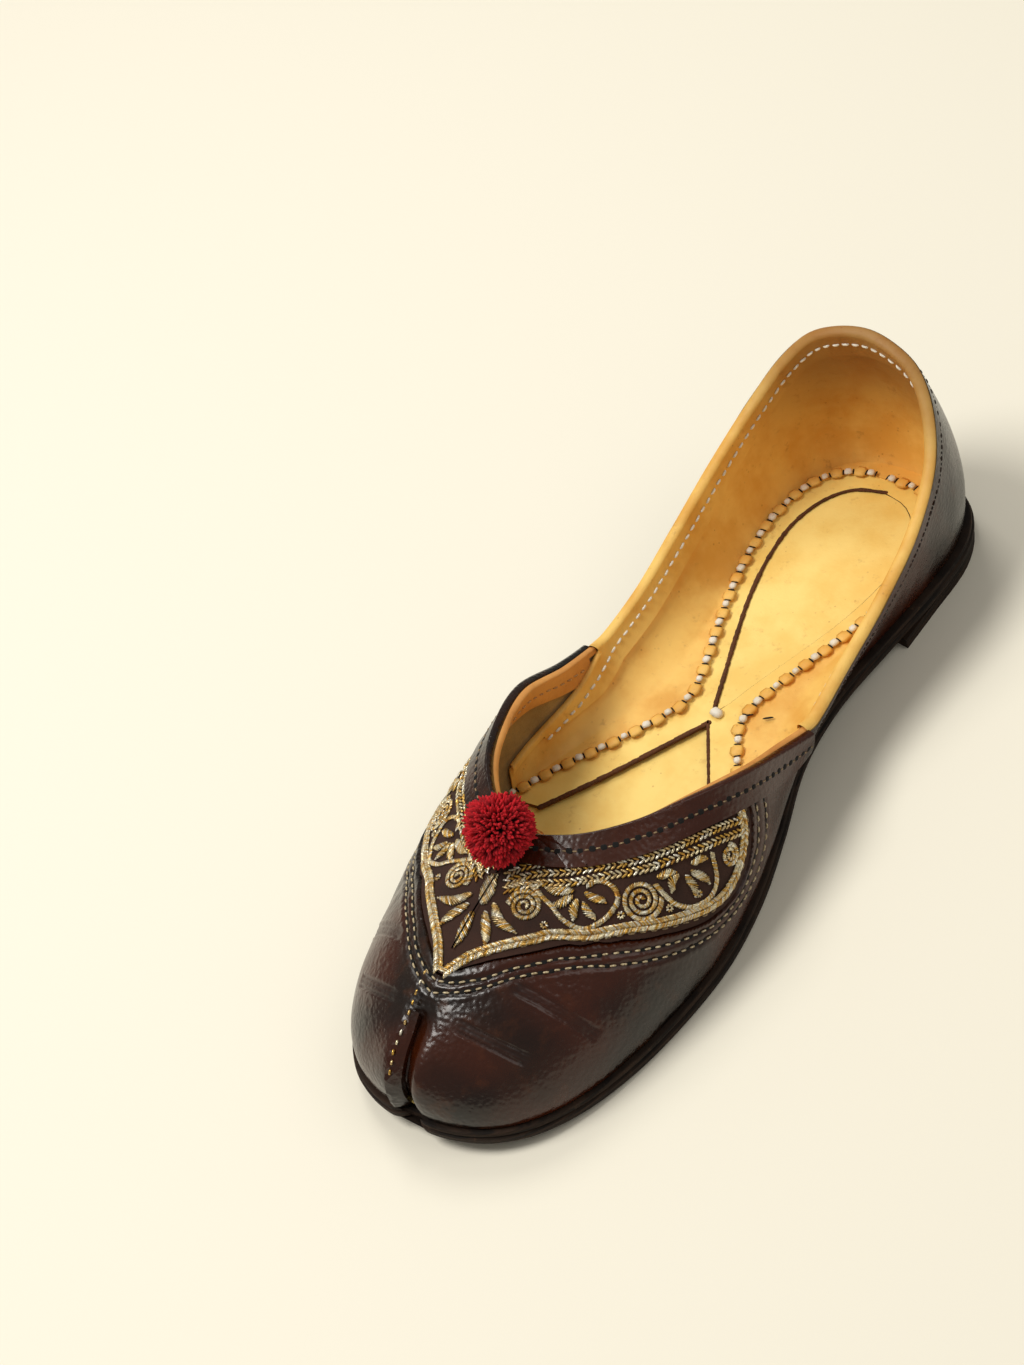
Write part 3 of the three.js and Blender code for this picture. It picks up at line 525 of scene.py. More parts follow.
class Wire:
    """A node's output, which can be added, multiplied and mixed in plain Python."""

    def __init__(self, tree, socket):
        self.tree = tree
        self.socket = socket

    def node(self, kind, settings=None, **inputs):
        """Any other node: its type, its settings, and its inputs by name or number."""
        node = self.tree.nodes.new(kind)
        for key, value in (settings or {}).items():
            setattr(node, key, value)
        for key, value in inputs.items():
            name = int(key[1:]) if key[0] == "_" else key.replace("_", " ")
            target = node.inputs[name]
            if isinstance(value, Wire):
                self.tree.links.new(value.socket, target)
            else:
                target.default_value = value
        return Wire(self.tree, node.outputs[0])

    def math(self, operation, *others):
        """Arithmetic on this and other wires or numbers."""
        values = {"_%d" % k: v for k, v in enumerate((self,) + others)}
        return self.node("ShaderNodeMath", {"operation": operation}, **values)

    def __add__(self, other):
        return self.math("ADD", other)

    def __radd__(self, other):
        return self.math("ADD", other)

    def __sub__(self, other):
        return self.math("SUBTRACT", other)

    def __rsub__(self, other):
        return (self * -1.0) + other

    def __mul__(self, other):
        return self.math("MULTIPLY", other)

    def ramp(self, start, end):
        """0 at start and 1 at end, with an S between."""
        node = self.tree.nodes.new("ShaderNodeMapRange")
        node.interpolation_type = "SMOOTHSTEP"
        self.tree.links.new(self.socket, node.inputs[0])
        for k, value in enumerate((start, end, 0.0, 1.0)):
            node.inputs[k + 1].default_value = value
        return Wire(self.tree, node.outputs[0])

    def mix(self, a, b):
        """Colour a where this is 0 and colour b where it is 1."""
        node = self.tree.nodes.new("ShaderNodeMix")
        node.data_type = "RGBA"
        self.tree.links.new(self.socket, node.inputs[0])
        for value, target in ((a, node.inputs[6]), (b, node.inputs[7])):
            if isinstance(value, Wire):
                self.tree.links.new(value.socket, target)
            else:
                target.default_value = (*value, 1)
        return Wire(self.tree, node.outputs[2])


class Finish:
    """A material with a Principled shader and wires for the object's own millimetres."""

    def __init__(self, name):
        self.material = bpy.data.materials.new(name)
        self.material.use_nodes = True
        self.tree = self.material.node_tree
        self.shader = self.tree.nodes["Principled BSDF"]
        coordinates = self.tree.nodes.new("ShaderNodeTexCoord")
        objects = Wire(self.tree, coordinates.outputs["Object"])
        self.mm = objects.node("ShaderNodeVectorMath", {"operation": "SCALE"}, _0=objects,
                               Scale=1 / MM)
        split = self.tree.nodes.new("ShaderNodeSeparateXYZ")
        self.tree.links.new(self.mm.socket, split.inputs[0])
        _, self.y, self.z = (Wire(self.tree, s) for s in split.outputs)

    def scaled(self, size, stretch=(1, 1, 1)):
        """Coordinates that give a pattern features about this many millimetres across."""
        return self.mm.node("ShaderNodeVectorMath", {"operation": "MULTIPLY"}, _0=self.mm,
                            _1=tuple(s / size for s in stretch))

    def noise(self, size, detail=3.0, roughness=0.55, stretch=(1, 1, 1), distortion=0.0):
        """Soft noise of that size."""
        where = self.scaled(size, stretch)
        return where.node("ShaderNodeTexNoise", Vector=where, Scale=1.0, Detail=detail,
                          Roughness=roughness, Distortion=distortion)

    def cells(self, size, feature="F1"):
        """Distances in a pattern of cells of that size."""
        where = self.scaled(size)
        return where.node("ShaderNodeTexVoronoi", {"feature": feature}, Vector=where, Scale=1.0)

    def attribute(self, name):
        """A number that the mesh carries at each of its points."""
        node = self.tree.nodes.new("ShaderNodeAttribute")
        node.attribute_name = name
        return Wire(self.tree, node.outputs["Fac"])

    def paint(self, colour, roughness, bump=None, height_mm=0.1, metallic=None, coat=None,
              coat_roughness=0.2):
        """Plugs a colour, a roughness and a relief in millimetres into the shader."""
        plugs = {"Base Color": colour, "Roughness": roughness}
        if metallic is not None:
            plugs["Metallic"] = metallic
        if coat is not None:
            plugs["Coat Weight"] = coat
            self.shader.inputs["Coat Roughness"].default_value = coat_roughness
        for key, value in plugs.items():
            if isinstance(value, Wire):
                self.tree.links.new(value.socket, self.shader.inputs[key])
            elif key == "Base Color":
                self.shader.inputs[key].default_value = (*value, 1)
            else:
                self.shader.inputs[key].default_value = value
        if bump is not None:
            relief = bump.node("ShaderNodeBump", Height=bump, Strength=1.0, Distance=height_mm * MM)
            self.tree.links.new(relief.socket, self.shader.inputs["Normal"])
        return self.material


def colour(code):
    """Linear colour from a six-digit hex code."""
    values = [int(code[k:k + 2], 16) / 255 for k in (0, 2, 4)]
    return tuple(c / 12.92 if c <= 0.04045 else ((c + 0.055) / 1.055) ** 2.4 for c in values)


# %% Leathers
# Where painted shade with some patina darkens the lining's heel, in millimetres along and up.
HEEL_FROM_TO = (-12, 26)
HEEL_LOW_HIGH = (14, 56)


def burnished_leather():
    """Dark brown leather, rubbed to a shine, with a fine pebble grain."""
    f = Finish("burnished_leather")
    patches = f.noise(26, 4, 0.6).ramp(0.35, 0.7)
    fine = f.noise(1.0, 3, 0.6)
    pebble = f.cells(1.25, "SMOOTH_F1")
    creased = f.noise(4.2, 3, 0.6, stretch=(1, 0.5, 1), distortion=0.6)
    # The groove mask paints shade near black into the pressed lines, stitch rows and panel edge.
    groove = f.attribute("groove")
    base = patches.mix(colour("0a0401"), colour("200e03"))
    tone = f.noise(7, 4, 0.65).ramp(0.5, 0.8).mix(base, colour("3d1e09"))
    red = (f.noise(45, 2, 0.5).ramp(0.42, 0.62) * 0.6).mix(tone, colour("481a06"))
    worn = (f.noise(0.9, 2, 0.7).ramp(0.66, 0.8) * f.noise(9, 3).ramp(0.5, 0.72) * 0.3)
    shown = groove.mix(worn.mix(red, colour("5e3d2d")), colour("050201"))
    rough = 0.18 + fine * 0.10 + patches * 0.07 + groove * 0.35
    grain = pebble * 0.85 + fine * 0.2 + creased * 0.55
    f.shader.inputs["Specular IOR Level"].default_value = 0.42
    return f.paint(shown, rough, grain, 0.17, coat=0.08, coat_roughness=0.10)


def tan_leather(name, light, dark, stain, relief_mm=0.12, heel=None):
    """Pale undyed tan with darker handling marks; painted shade with patina at the heel's back."""
    f = Finish(name)
    clouds = f.noise(18, 4, 0.6).ramp(0.35, 0.7)
    fine = f.noise(0.8, 3, 0.6)
    base = clouds.mix(colour(light), colour(dark))
    marked = (f.noise(5, 4, 0.7).ramp(0.58, 0.78) * 0.45).mix(base, colour(stain))
    specks = (f.cells(2.6).math("LESS_THAN", 0.12) * f.noise(14, 2).ramp(0.5, 0.65) * 0.4)
    shown = specks.mix(marked, colour(stain))
    # Painted shade with some patina: darker towards the heel's back and up its wall.
    if heel:
        heel_shade_and_patina = f.y.ramp(*HEEL_FROM_TO) * f.z.ramp(*HEEL_LOW_HIGH) * 0.75
        shown = heel_shade_and_patina.mix(shown, colour(heel))
    relief = fine * 0.5 + f.noise(3.5, 3) * 0.9
    return f.paint(shown, 0.5 + fine * 0.18, relief, relief_mm)


def suede(name, light, dark):
    """Rough leather without shine, with a short nap."""
    f = Finish(name)
    nap = f.noise(0.45, 4, 0.75)
    clouds = f.noise(9, 4, 0.6).ramp(0.3, 0.75)
    shown = (nap * 0.6 + clouds * 0.4).mix(colour(light), colour(dark))
    return f.paint(shown, 0.93, nap, 0.14)


def edge_leather():
    """Cut edge of a stack of sole leather: dark, with thin layers."""
    f = Finish("sole_edge")
    layers = f.noise(1.0, 3, 0.6, stretch=(0.06, 0.06, 1.3))
    rough = f.noise(0.7, 4, 0.7)
    shown = layers.ramp(0.35, 0.7).mix(colour("140e0a"), colour("35251a"))
    scuffed = (f.noise(3, 4, 0.7).ramp(0.6, 0.75) * 0.5).mix(shown, colour("5a432f"))
    f.shader.inputs["Specular IOR Level"].default_value = 0.2
    return f.paint(scuffed, 0.62 + rough * 0.2, layers * 0.8 + rough * 0.7, 0.3)


def thread(name, light, dark):
    """Twisted thread, lighter and darker along its fine plies."""
    f = Finish(name)
    twist = f.noise(0.45, 2, 0.6)
    shown = twist.ramp(0.3, 0.7).mix(colour(dark), colour(light))
    return f.paint(shown, 0.6, twist, 0.06)


def zari_thread():
    """Metal thread: gold and silver stitches mixed one by one, with painted shade at their ends."""
    f = Finish("zari_thread")
    tone = f.attribute("tone")
    way = f.attribute("way")
    gold = tone.ramp(0.1, 0.75).mix(colour("d9a94a"), colour("f3e8c4"))
    pale = tone.ramp(0.72, 0.95).mix(gold, colour("f7f2e2"))
    copper = ((1.0 - tone.ramp(0.02, 0.08)) * 0.6).mix(pale, colour("b5793a"))
    wound = f.noise(0.42, 2, 0.6).ramp(0.42, 0.66)
    twisted = (wound * 0.75).mix(copper, colour("5c4018"))
    # Painted shade where each stitch dives into the ground, darkest at its two ends.
    ends = (1.0 - way.ramp(0.0, 0.10)) + way.ramp(0.90, 1.0)
    shown = (ends * 0.85).mix(twisted, colour("2c1c0c"))
    return f.paint(shown, 0.24 + wound * 0.14, wound, 0.06, metallic=0.72)


def yarn_wool():
    """Crimson wool, with painted shade at the roots between the strands."""
    f = Finish("crimson_wool")
    tone = f.attribute("tone")
    way = f.attribute("way")
    fuzz = f.noise(0.25, 3, 0.7)
    tips = tone.mix(colour("a60312"), colour("de0c1f"))
    # Painted shade: darker towards the roots, deep between the strands.
    depth = way.ramp(0.35, 0.95)
    shown = depth.mix(colour("3d020d"), tips)
    return f.paint((fuzz * 0.4).mix(shown, colour("7d0a1c")), 0.9, fuzz, 0.1)


def cut_faces(material, dark):
    """The same leather with its upright cut faces dark."""
    copy = material.copy()
    tree = copy.node_tree
    shader = tree.nodes["Principled BSDF"]
    was = shader.inputs["Base Color"].links[0].from_socket
    normal = tree.nodes.new("ShaderNodeNewGeometry").outputs["True Normal"]
    parts = tree.nodes.new("ShaderNodeSeparateXYZ")
    tree.links.new(normal, parts.inputs[0])
    flat = Wire(tree, parts.outputs[2]).ramp(0.35, 0.6)
    shown = flat.mix(colour(dark), Wire(tree, was))
    tree.links.new(shown.socket, shader.inputs["Base Color"])
    return copy


# %% The finishes themselves
BROWN = burnished_leather()
# The lining's heel colour is painted shade with some patina.
TAN = tan_leather("lining_tan", "f4c668", "e2a646", "96581c", heel="743a0c")
INSOLE_TAN = tan_leather("insole_tan", "fcdc7e", "f2c764", "b2792c", 0.08)
PAD_TAN = tan_leather("pad_tan", "fddf84", "f3cb6a", "b68033", 0.1)
# Dark strips at the pad's and flaps' edges: partly their own colour, partly painted shade.
CUT_EDGE_AND_SHADE = suede("cut_edge_and_shade", "6a3d1c", "37200f")
SUEDE = suede("suede", "b99b68", "7d6339")
SOLE_EDGE = edge_leather()
PANEL_GROUND = suede("panel_ground", "432416", "1b0d06")
CREAM = thread("cream_thread", "fbf8f0", "dcd2bc")
ZARI = zari_thread()
CRIMSON = yarn_wool()
INSOLE_CUT = cut_faces(INSOLE_TAN, "7a4a20")
PAD_CUT = cut_faces(PAD_TAN, "6e421d")
SEAM_THREAD = thread("seam_thread", "d6c6a2", "8f7a56")
TAN_THREAD = thread("tan_thread", "a9906a", "5e4a33")
DARK_THREAD = thread("dark_thread", "4a3a2e", "1d1512")
ORANGE_THREAD = thread("orange_thread", "d9b078", "8a5226")
ORANGE_TAN = tan_leather("orange_tan", "dd9c50", "bf7d38", "84501f", 0.1)
THONG = tan_leather("thong_white", "efe9dc", "ddd3bf", "b3a489", 0.08)
# Near black: painted shade in the stitch holes and slits.
HOLE_SHADE = Finish("hole").paint(colour("070504"), 0.95)
print("materials:", len(bpy.data.materials))

# %% [markdown]
# The upper is one shell of leather. Its outside is a grid laid on the last with everything that a
# last and a needle press into it: the step where the toe leather laps over the quarter, the
# window that the panel sits in, the pressed lines across the toe, and the soft creases.

# %% Small helpers for the pieces


def set_material(obj, material):
    """Gives an object this one material."""
    obj.data.materials.clear()
    obj.data.materials.append(material)


def finish_piece(obj, material, node):
    """Gives a piece its material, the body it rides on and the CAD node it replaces."""
    set_material(obj, material)
    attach(obj, "root")
    if node:
        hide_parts(node)
    faces = sum(len(p.vertices) - 2 for p in obj.data.polygons)
    size = [round(v / MM, 1) for v in obj.dimensions]
    print(obj.name, "triangles:", faces, "size in mm:", size)


def nearest_tree(line):
    """A dense line as a tree that finds its nearest point."""
    tree = KDTree(len(line))
    for k, spot in enumerate(line):
        tree.insert(Vector(spot), k)
    tree.balance()
    return tree


def rib_top(rib):
    """Height along every rib of its own upper end."""
    return 1.0


def below_top(width, marks):
    """Height along each rib at a width below the topline, looked up between marked ribs."""
    found = np.array([strip_edge(r, width) for r in marks])
    return lambda r: float(np.interp(r, marks, found))


def panel_low(rib):
    """Height along a rib of the embroidered panel's lower edge."""
    return float(np.interp(rib, PANEL_EDGE[:, 0], PANEL_EDGE[:, 1]))


PANEL_START = PANEL_EDGE[0, 0]
PANEL_END = PANEL_EDGE[-1, 0]

# %% The last as a surface that finds its nearest point
# A point inside the toe box, which tells the outside of the last from its inside.
CORE = place(150, 0, 14)


def skin_tree():
    """The upper's surface on both sides as a tree that finds its nearest point."""
    rib, v = np.meshgrid(np.linspace(0, TOE_RIB, 320), np.linspace(0, 1, 90), indexing="ij")
    half = skin_out(rib, v, 0).reshape(-1, 3)
    index = np.arange(rib.size).reshape(rib.shape)
    quads = np.stack([index[:-1, :-1], index[1:, :-1], index[1:, 1:], index[:-1, 1:]], -1)
    quads = quads.reshape(-1, 4)
    other = quads[:, ::-1] + rib.size
    points = np.vstack([half, half * [-1, 1, 1]])
    return BVHTree.FromPolygons(points.tolist(), np.vstack([quads, other]).tolist())


TREE = skin_tree()


def settle(points, height=0.0):
    """Points moved to the nearest place on the last, at a height over it, with normals."""
    spots, normals = [], []
    for point in points:
        spot, normal, _, _ = TREE.find_nearest(Vector(point))
        spots.append(spot[:])
        normals.append(normal[:])
    spots, normals = np.array(spots), np.array(normals)
    inside = (normals * (spots - CORE)).sum(axis=1) < 0
    normals[inside] *= -1
    return spots + normals * height, normals


# %% Lines pressed and stitched into the upper, as rib number and height along the rib
NEAR_ROW = [
    (16.02, 0.975), (15.92, 0.917), (15.70, 0.855), (15.45, 0.797), (14.94, 0.729), (14.42, 0.667),
    (13.90, 0.607), (13.44, 0.555), (12.82, 0.512), (12.11, 0.471), (11.44, 0.425), (10.78, 0.363),
    (10.22, 0.306), (9.66, 0.300), (9.30, 0.361), (9.06, 0.474), (8.96, 0.620), (8.92, 0.760),
    (8.92, 0.850),
]
FAR_ROW = [
    (16.27, 0.975), (16.11, 0.902), (15.91, 0.842), (15.33, 0.739), (14.80, 0.677), (14.17, 0.602),
    (13.58, 0.534), (12.85, 0.471), (12.11, 0.424), (11.37, 0.365), (10.70, 0.300), (10.05, 0.240),
    (9.44, 0.225), (9.05, 0.280), (8.82, 0.408), (8.72, 0.584), (8.70, 0.729), (8.72, 0.820),
]
PRESSED_LONG = [(15.02, 0.679), (14.62, 0.576), (14.07, 0.439), (13.60, 0.318), (13.30, 0.240)]
PRESSED_SHORT = [(16.44, 0.767), (15.96, 0.589), (15.36, 0.436), (14.90, 0.338)]
PRESSED_APART = 1.9


def rib_line(pairs):
    """A line of (rib, height) pairs on the +X side as dense points in millimetres."""
    pairs = np.array(pairs, float)
    return catmull_rom(skin(pairs[:, 0], pairs[:, 1]), False, 24)[0]


def away_from(line, points, with_place=False):
    """Distance from each point to a dense line, and how far along it the nearest spot is."""
    tree = nearest_tree(line)
    flat = points.reshape(-1, 3)
    found = np.array([tree.find(Vector(p))[1:] for p in flat])
    away = found[:, 1].reshape(points.shape[:-1])
    if with_place:
        return away, found[:, 0].reshape(points.shape[:-1]) / (len(line) - 1)
    return away


def beside(line, shift):
    """A line moved sideways over the last."""
    way = unit(np.gradient(line, axis=0))
    out = unit(line - CORE)
    return settle(line + np.cross(out, way) * shift)[0]


near_line, far_line = rib_line(NEAR_ROW), rib_line(FAR_ROW)
pressed_lines = [
    beside(rib_line(pairs), shift)
    for pairs in (PRESSED_LONG, PRESSED_SHORT) for shift in (-PRESSED_APART, 0, PRESSED_APART)
]
cut_line = rib_line(PANEL_EDGE)
wings_back = rib_line([(VAMP_RIB + 0.28, v) for v in np.linspace(0.12, 0.97, 8)])

# %% Relief pressed into the outside of the upper
STEP_RIBS = 0.02
WINDOW_RIBS = 0.01
ROW_SINK = 0.42
ROW_WIDTH = 0.75
LINE_SINK = 0.60
LINE_WIDTH = 0.5


def fading(share):
    """How deep a pressed line is along its length: none at its ends, full between."""
    return smooth(share, 0, 0.16) * (1 - smooth(share, 0.80, 1))


def relief(rib, v):
    """Height in millimetres to add to the last, over the upper's outside."""
    point = skin(rib, v)
    vamp = smooth(rib, VAMP_RIB - STEP_RIBS, VAMP_RIB + STEP_RIBS)
    height = -VAMP_STEP * (1 - vamp)
    low = np.interp(rib, PANEL_EDGE[:, 0], PANEL_EDGE[:, 1])
    window = smooth(v - low, -0.004, 0.004)
    window = window * smooth(rib, PANEL_START - WINDOW_RIBS, PANEL_START + WINDOW_RIBS)
    window = window * (1 - smooth(rib, PANEL_END - WINDOW_RIBS, PANEL_END + WINDOW_RIBS))
    height = height - PANEL_RECESS * window
    leather = 1 - window
    height = height + 0.22 * bell(away_from(cut_line, point), 1.5) * leather
    for line in (near_line, far_line, wings_back):
        height = height - ROW_SINK * bell(away_from(line, point), ROW_WIDTH) * leather
    between = np.minimum(away_from(near_line, point), away_from(far_line, point))
    height = height + 0.15 * bell(between - 1.6, 0.8) * leather
    for line in pressed_lines:
        away, share = away_from(line, point, with_place=True)
        height = height - LINE_SINK * bell(away, LINE_WIDTH) * fading(share)
        height = height + 0.14 * bell(away - 0.95, 0.4) * fading(share)
    along = HEEL_SEAT - point[..., 1]
    waves = np.sin(0.31 * along + 2.1 * v) * np.sin(0.17 * along + 5 * v)
    puckers = np.sin(1.25 * along) * bell(between, 2.2)
    return height + (0.10 * waves + 0.07 * puckers) * leather


# %% Upper, outside and inside
ribs_fine = np.concatenate([
    np.linspace(0, VAMP_RIB - STEP_RIBS, 90), np.linspace(VAMP_RIB + STEP_RIBS, TOE_RIB, 330)
])
upper = lay("upper_leather_shell", ribs_fine, lambda r: 0.0, rib_top, 112, relief, 0)
spots = np.array([v.co[:] for v in upper.data.vertices]) / MM
spots[:, 0] = np.abs(spots[:, 0])
# How strongly painted shade darkens each point: in the pressed lines, the stitch rows and the
# panel's edge.
depth = np.zeros(len(spots))
for line in pressed_lines:
    away, share = away_from(line, spots, with_place=True)
    depth = np.maximum(depth, 0.95 * bell(away, 0.40) * fading(share))
for line in (near_line, far_line, wings_back, cut_line):
    depth = np.maximum(depth, 0.45 * bell(away_from(line, spots), 0.6))
upper.data.attributes.new("groove", "FLOAT", "POINT").data.foreach_set("value", depth)
finish_piece(upper, BROWN, "upper")
inside = lay("upper_suede_inside", ribs_fine[::3], lambda r: 0.0, rib_top, 50, -WALL, 0)
inside.data.flip_normals()
finish_piece(inside, SUEDE, "upper")

# %% Embroidered panel's ground
panel_ribs = np.linspace(PANEL_START + 0.05, PANEL_END - 0.02, 150)
panel = lay("panel_ground", panel_ribs, lambda r: min(panel_low(r) + 0.008, 0.995),
            rib_top, 60, -0.15, 0.6)
finish_piece(panel, PANEL_GROUND, "embroidered_panel")

# %% Throat binding
binding_low = below_top(BINDING_WIDTH, np.linspace(VAMP_RIB, TOE_RIB, 105))
binding_ribs = np.concatenate([
    np.linspace(7.02, THROAT_RIB, 180), np.linspace(THROAT_RIB, 15.4, 50)[1:]
])
binding = lay("binding", binding_ribs, binding_low, rib_top, 14, TRIM_FACE, TRIM_THICKNESS)
finish_piece(binding, BROWN, "throat_binding")

# %% [markdown]
# Inside, the lining runs down the wall and turns in over the insole, where the thongs hold it. A
# band strengthens the quarter's topline, and a facing does so inside the vamp.

# %% Lining inside the quarters
LINING_END = 9.1
LINING_FALL_START = 6.6
LINING_FALL = 0.74
LINING_BEND = 0.34
LINING_FOOT = 0.14
LINING_SHEET = 0.5
THONG_CURVE = catmull_rom([place(s * LENGTH, h * BALL_HALF, 0) for s, h in THONG_LINE], False)


def lining_top(rib):
    """Height along a rib of the lining's upper edge, which falls under the vamp."""
    under = (rib - LINING_FALL_START) / (LINING_END - LINING_FALL_START)
    return float(1 - LINING_FALL * np.clip(under, 0, 1))


def thong_point(rib, above):
    """Point of the thong row that belongs to a rib, at a height above the insole's frame."""
    point = along_curve(THONG_CURVE, np.asarray(rib) / LINING_END)
    point[..., 2] = frame_top(HEEL_SEAT - point[..., 1]) + above
    return point


def lining_points(ribs, rows_wall=28, rows_floor=20, rows_bend=10):
    """Section of the lining: from the thongs out over the floor, round the bend and up."""
    columns = []
    for rib in ribs:
        top = lining_top(rib)
        bend_at = min(LINING_BEND, top * 0.9)
        bend = skin_out(rib, bend_at, LINING_FACE)
        foot = skin_out(rib, LINING_FOOT * bend_at / LINING_BEND, LINING_FACE)
        tip = thong_point(rib, GAP)
        foot[2] = max(foot[2], frame_top(HEEL_SEAT - foot[1]) + GAP)
        middle = tip * 0.4 + foot * 0.6
        middle[2] = frame_top(HEEL_SEAT - middle[1]) + GAP
        control = middle * 0.1 + foot * 0.9
        t = np.linspace(0, 1, rows_floor)[:, None]
        flat = tip * (1 - t) + middle * t
        t = np.linspace(0, 1, rows_bend)[1:, None]
        round_part = (1 - t) ** 2 * middle + 2 * (1 - t) * t * control + t**2 * bend
        heights = np.linspace(bend_at, top, rows_wall)[1:]
        wall = skin_out(rib, heights, LINING_FACE)
        columns.append(np.vstack([flat, round_part, wall]))
    points = np.array(columns)
    points[ribs <= 0, :, 0] = 0
    return points


lining_ribs = np.linspace(0, LINING_END, 260)
lining = grid_from("lining", lining_points(lining_ribs))
mirror(lining)
apply_modifier(lining, "SOLIDIFY", thickness=LINING_SHEET * MM, offset=-1)
face_out(lining)
smooth_shading(lining)
finish_piece(lining, TAN, "quarter_lining")

# %% Band at the quarters' top and facing inside the vamp
band_ribs = np.linspace(0, 8.5, 220)


def band_low(rib):
    """Height along a rib of the band's lower edge, kept over the lining's bend."""
    top = lining_top(rib)
    return max(top - BAND_WIDTH / rib_length(rib), min(LINING_BEND, top * 0.9) + 0.02)


band = lay("band", band_ribs, band_low, lining_top, 14, BAND_BACK, TRIM_THICKNESS)
finish_piece(band, TAN, "quarter_band")

facing_ribs = np.linspace(7.3, 15.2, 180)
facing_strip = below_top(FACING_WIDTH, facing_ribs)
facing = lay("facing", facing_ribs, lambda r: max(facing_strip(r), lining_top(r) + 0.015),
             rib_top, 12, -WALL - GAP, TRIM_THICKNESS)
finish_piece(facing, ORANGE_TAN, "vamp_facing")

# %% [markdown]
# The soles follow one outline, moved in by a ledge or a wall. The outsole's side is drawn as rings,
# with a groove round it as in stacked leather.

# %% Edges shared by the sole and the insoles


def outline_points(shares, inset, notch):
    """The outline moved in, with the toe's notch, on the +X side."""
    point, _ = outline_inside(shares, inset)
    pull = notch * bell(point[..., 0], NOTCH_WIDTH) * (shares > 0.8)
    point[..., 1] += pull
    point[..., 0] = np.where((shares <= 0) | (shares >= 1), 0, point[..., 0])
    return point


def floor_sheet(name, edge, height, columns=30):
    """A sheet from the middle line out to an edge on the +X side."""
    t = np.linspace(0, 1, columns)
    points = np.zeros((len(edge), columns, 3))
    points[..., 0] = edge[:, None, 0] * t
    points[..., 1] = edge[:, None, 1]
    points[..., 2] = height(HEEL_SEAT - points[..., 1])
    return grid_from(name, points)


INSOLE_SHEET = 1.3
edge_shares = (1 - np.cos(np.linspace(0, np.pi, 300))) / 2
insole_edge = outline_points(edge_shares, SOLE_LEDGE + WALL + 2 * GAP, NOTCH_DEPTH + WALL)
insole = floor_sheet("insole_sheet", insole_edge, insole_top)
mirror(insole)
face_out(insole)
if sum(p.normal.z for p in insole.data.polygons) < 0:
    insole.data.flip_normals()
apply_modifier(insole, "SOLIDIFY", thickness=INSOLE_SHEET * MM, offset=-1)
smooth_shading(insole)
finish_piece(insole, INSOLE_TAN, "insole")

# %% Outsole
# Rings of its side from below: distance in from the outline, and share of the sole's thickness.
ring_profile = [(0.9, 0.0), (0.35, 0.05), (0.1, 0.14), (0.0, 0.5), (0.3, 0.56), (0.7, 0.6),
                (0.42, 0.68), (0.35, 0.86), (0.55, 0.96), (0.95, 1.0)]
sole_shares = np.linspace(0, 1, 420)
rings = []
for inset, height in ring_profile:
    ring = outline_points(sole_shares, inset, NOTCH_DEPTH)
    ring[:, 2] = sole_bottom(HEEL_SEAT - ring[:, 1]) + SOLE_THICKNESS * height
    rings.append(ring)
side = np.array(rings)
inward = np.linspace(1, 0, 16)[1:]
under = np.array([side[0] * [s, 1, 1] for s in inward][::-1])
over = np.array([side[-1] * [s, 1, 1] for s in inward])
sole_points = np.vstack([under, side, over]).transpose(1, 0, 2)
outsole = grid_from("outsole_layers", sole_points)
mirror(outsole)
face_out(outsole)
smooth_shading(outsole)
finish_piece(outsole, SOLE_EDGE, "outsole")

# %% [markdown]
# Every stitch is one small pillow of thread. It is modelled once from a sphere primitive, then
# copied to each place: its length lies along the stitch and its belly stands off the leather. The
# shoe's left side mirrors its right, so most rows are added to both at once.

# %% One stitch, and how to copy it along a line
clear_selection()
bpy.ops.mesh.primitive_uv_sphere_add(segments=6, ring_count=5, radius=1)
pillow = bpy.context.object
pillow.rotation_euler = (0, math.radians(90), 0)
bpy.ops.object.transform_apply(location=False, rotation=True, scale=False)
PILLOW = np.array([v.co[:] for v in pillow.data.vertices])
PILLOW[:, 0] = np.sign(PILLOW[:, 0]) * np.abs(PILLOW[:, 0]) ** 0.6
PILLOW_FACES = [tuple(p.vertices) for p in pillow.data.polygons]
bpy.data.objects.remove(pillow)


FLIPS = np.array([[1.0, 1, 1], [-1, 1, 1]])


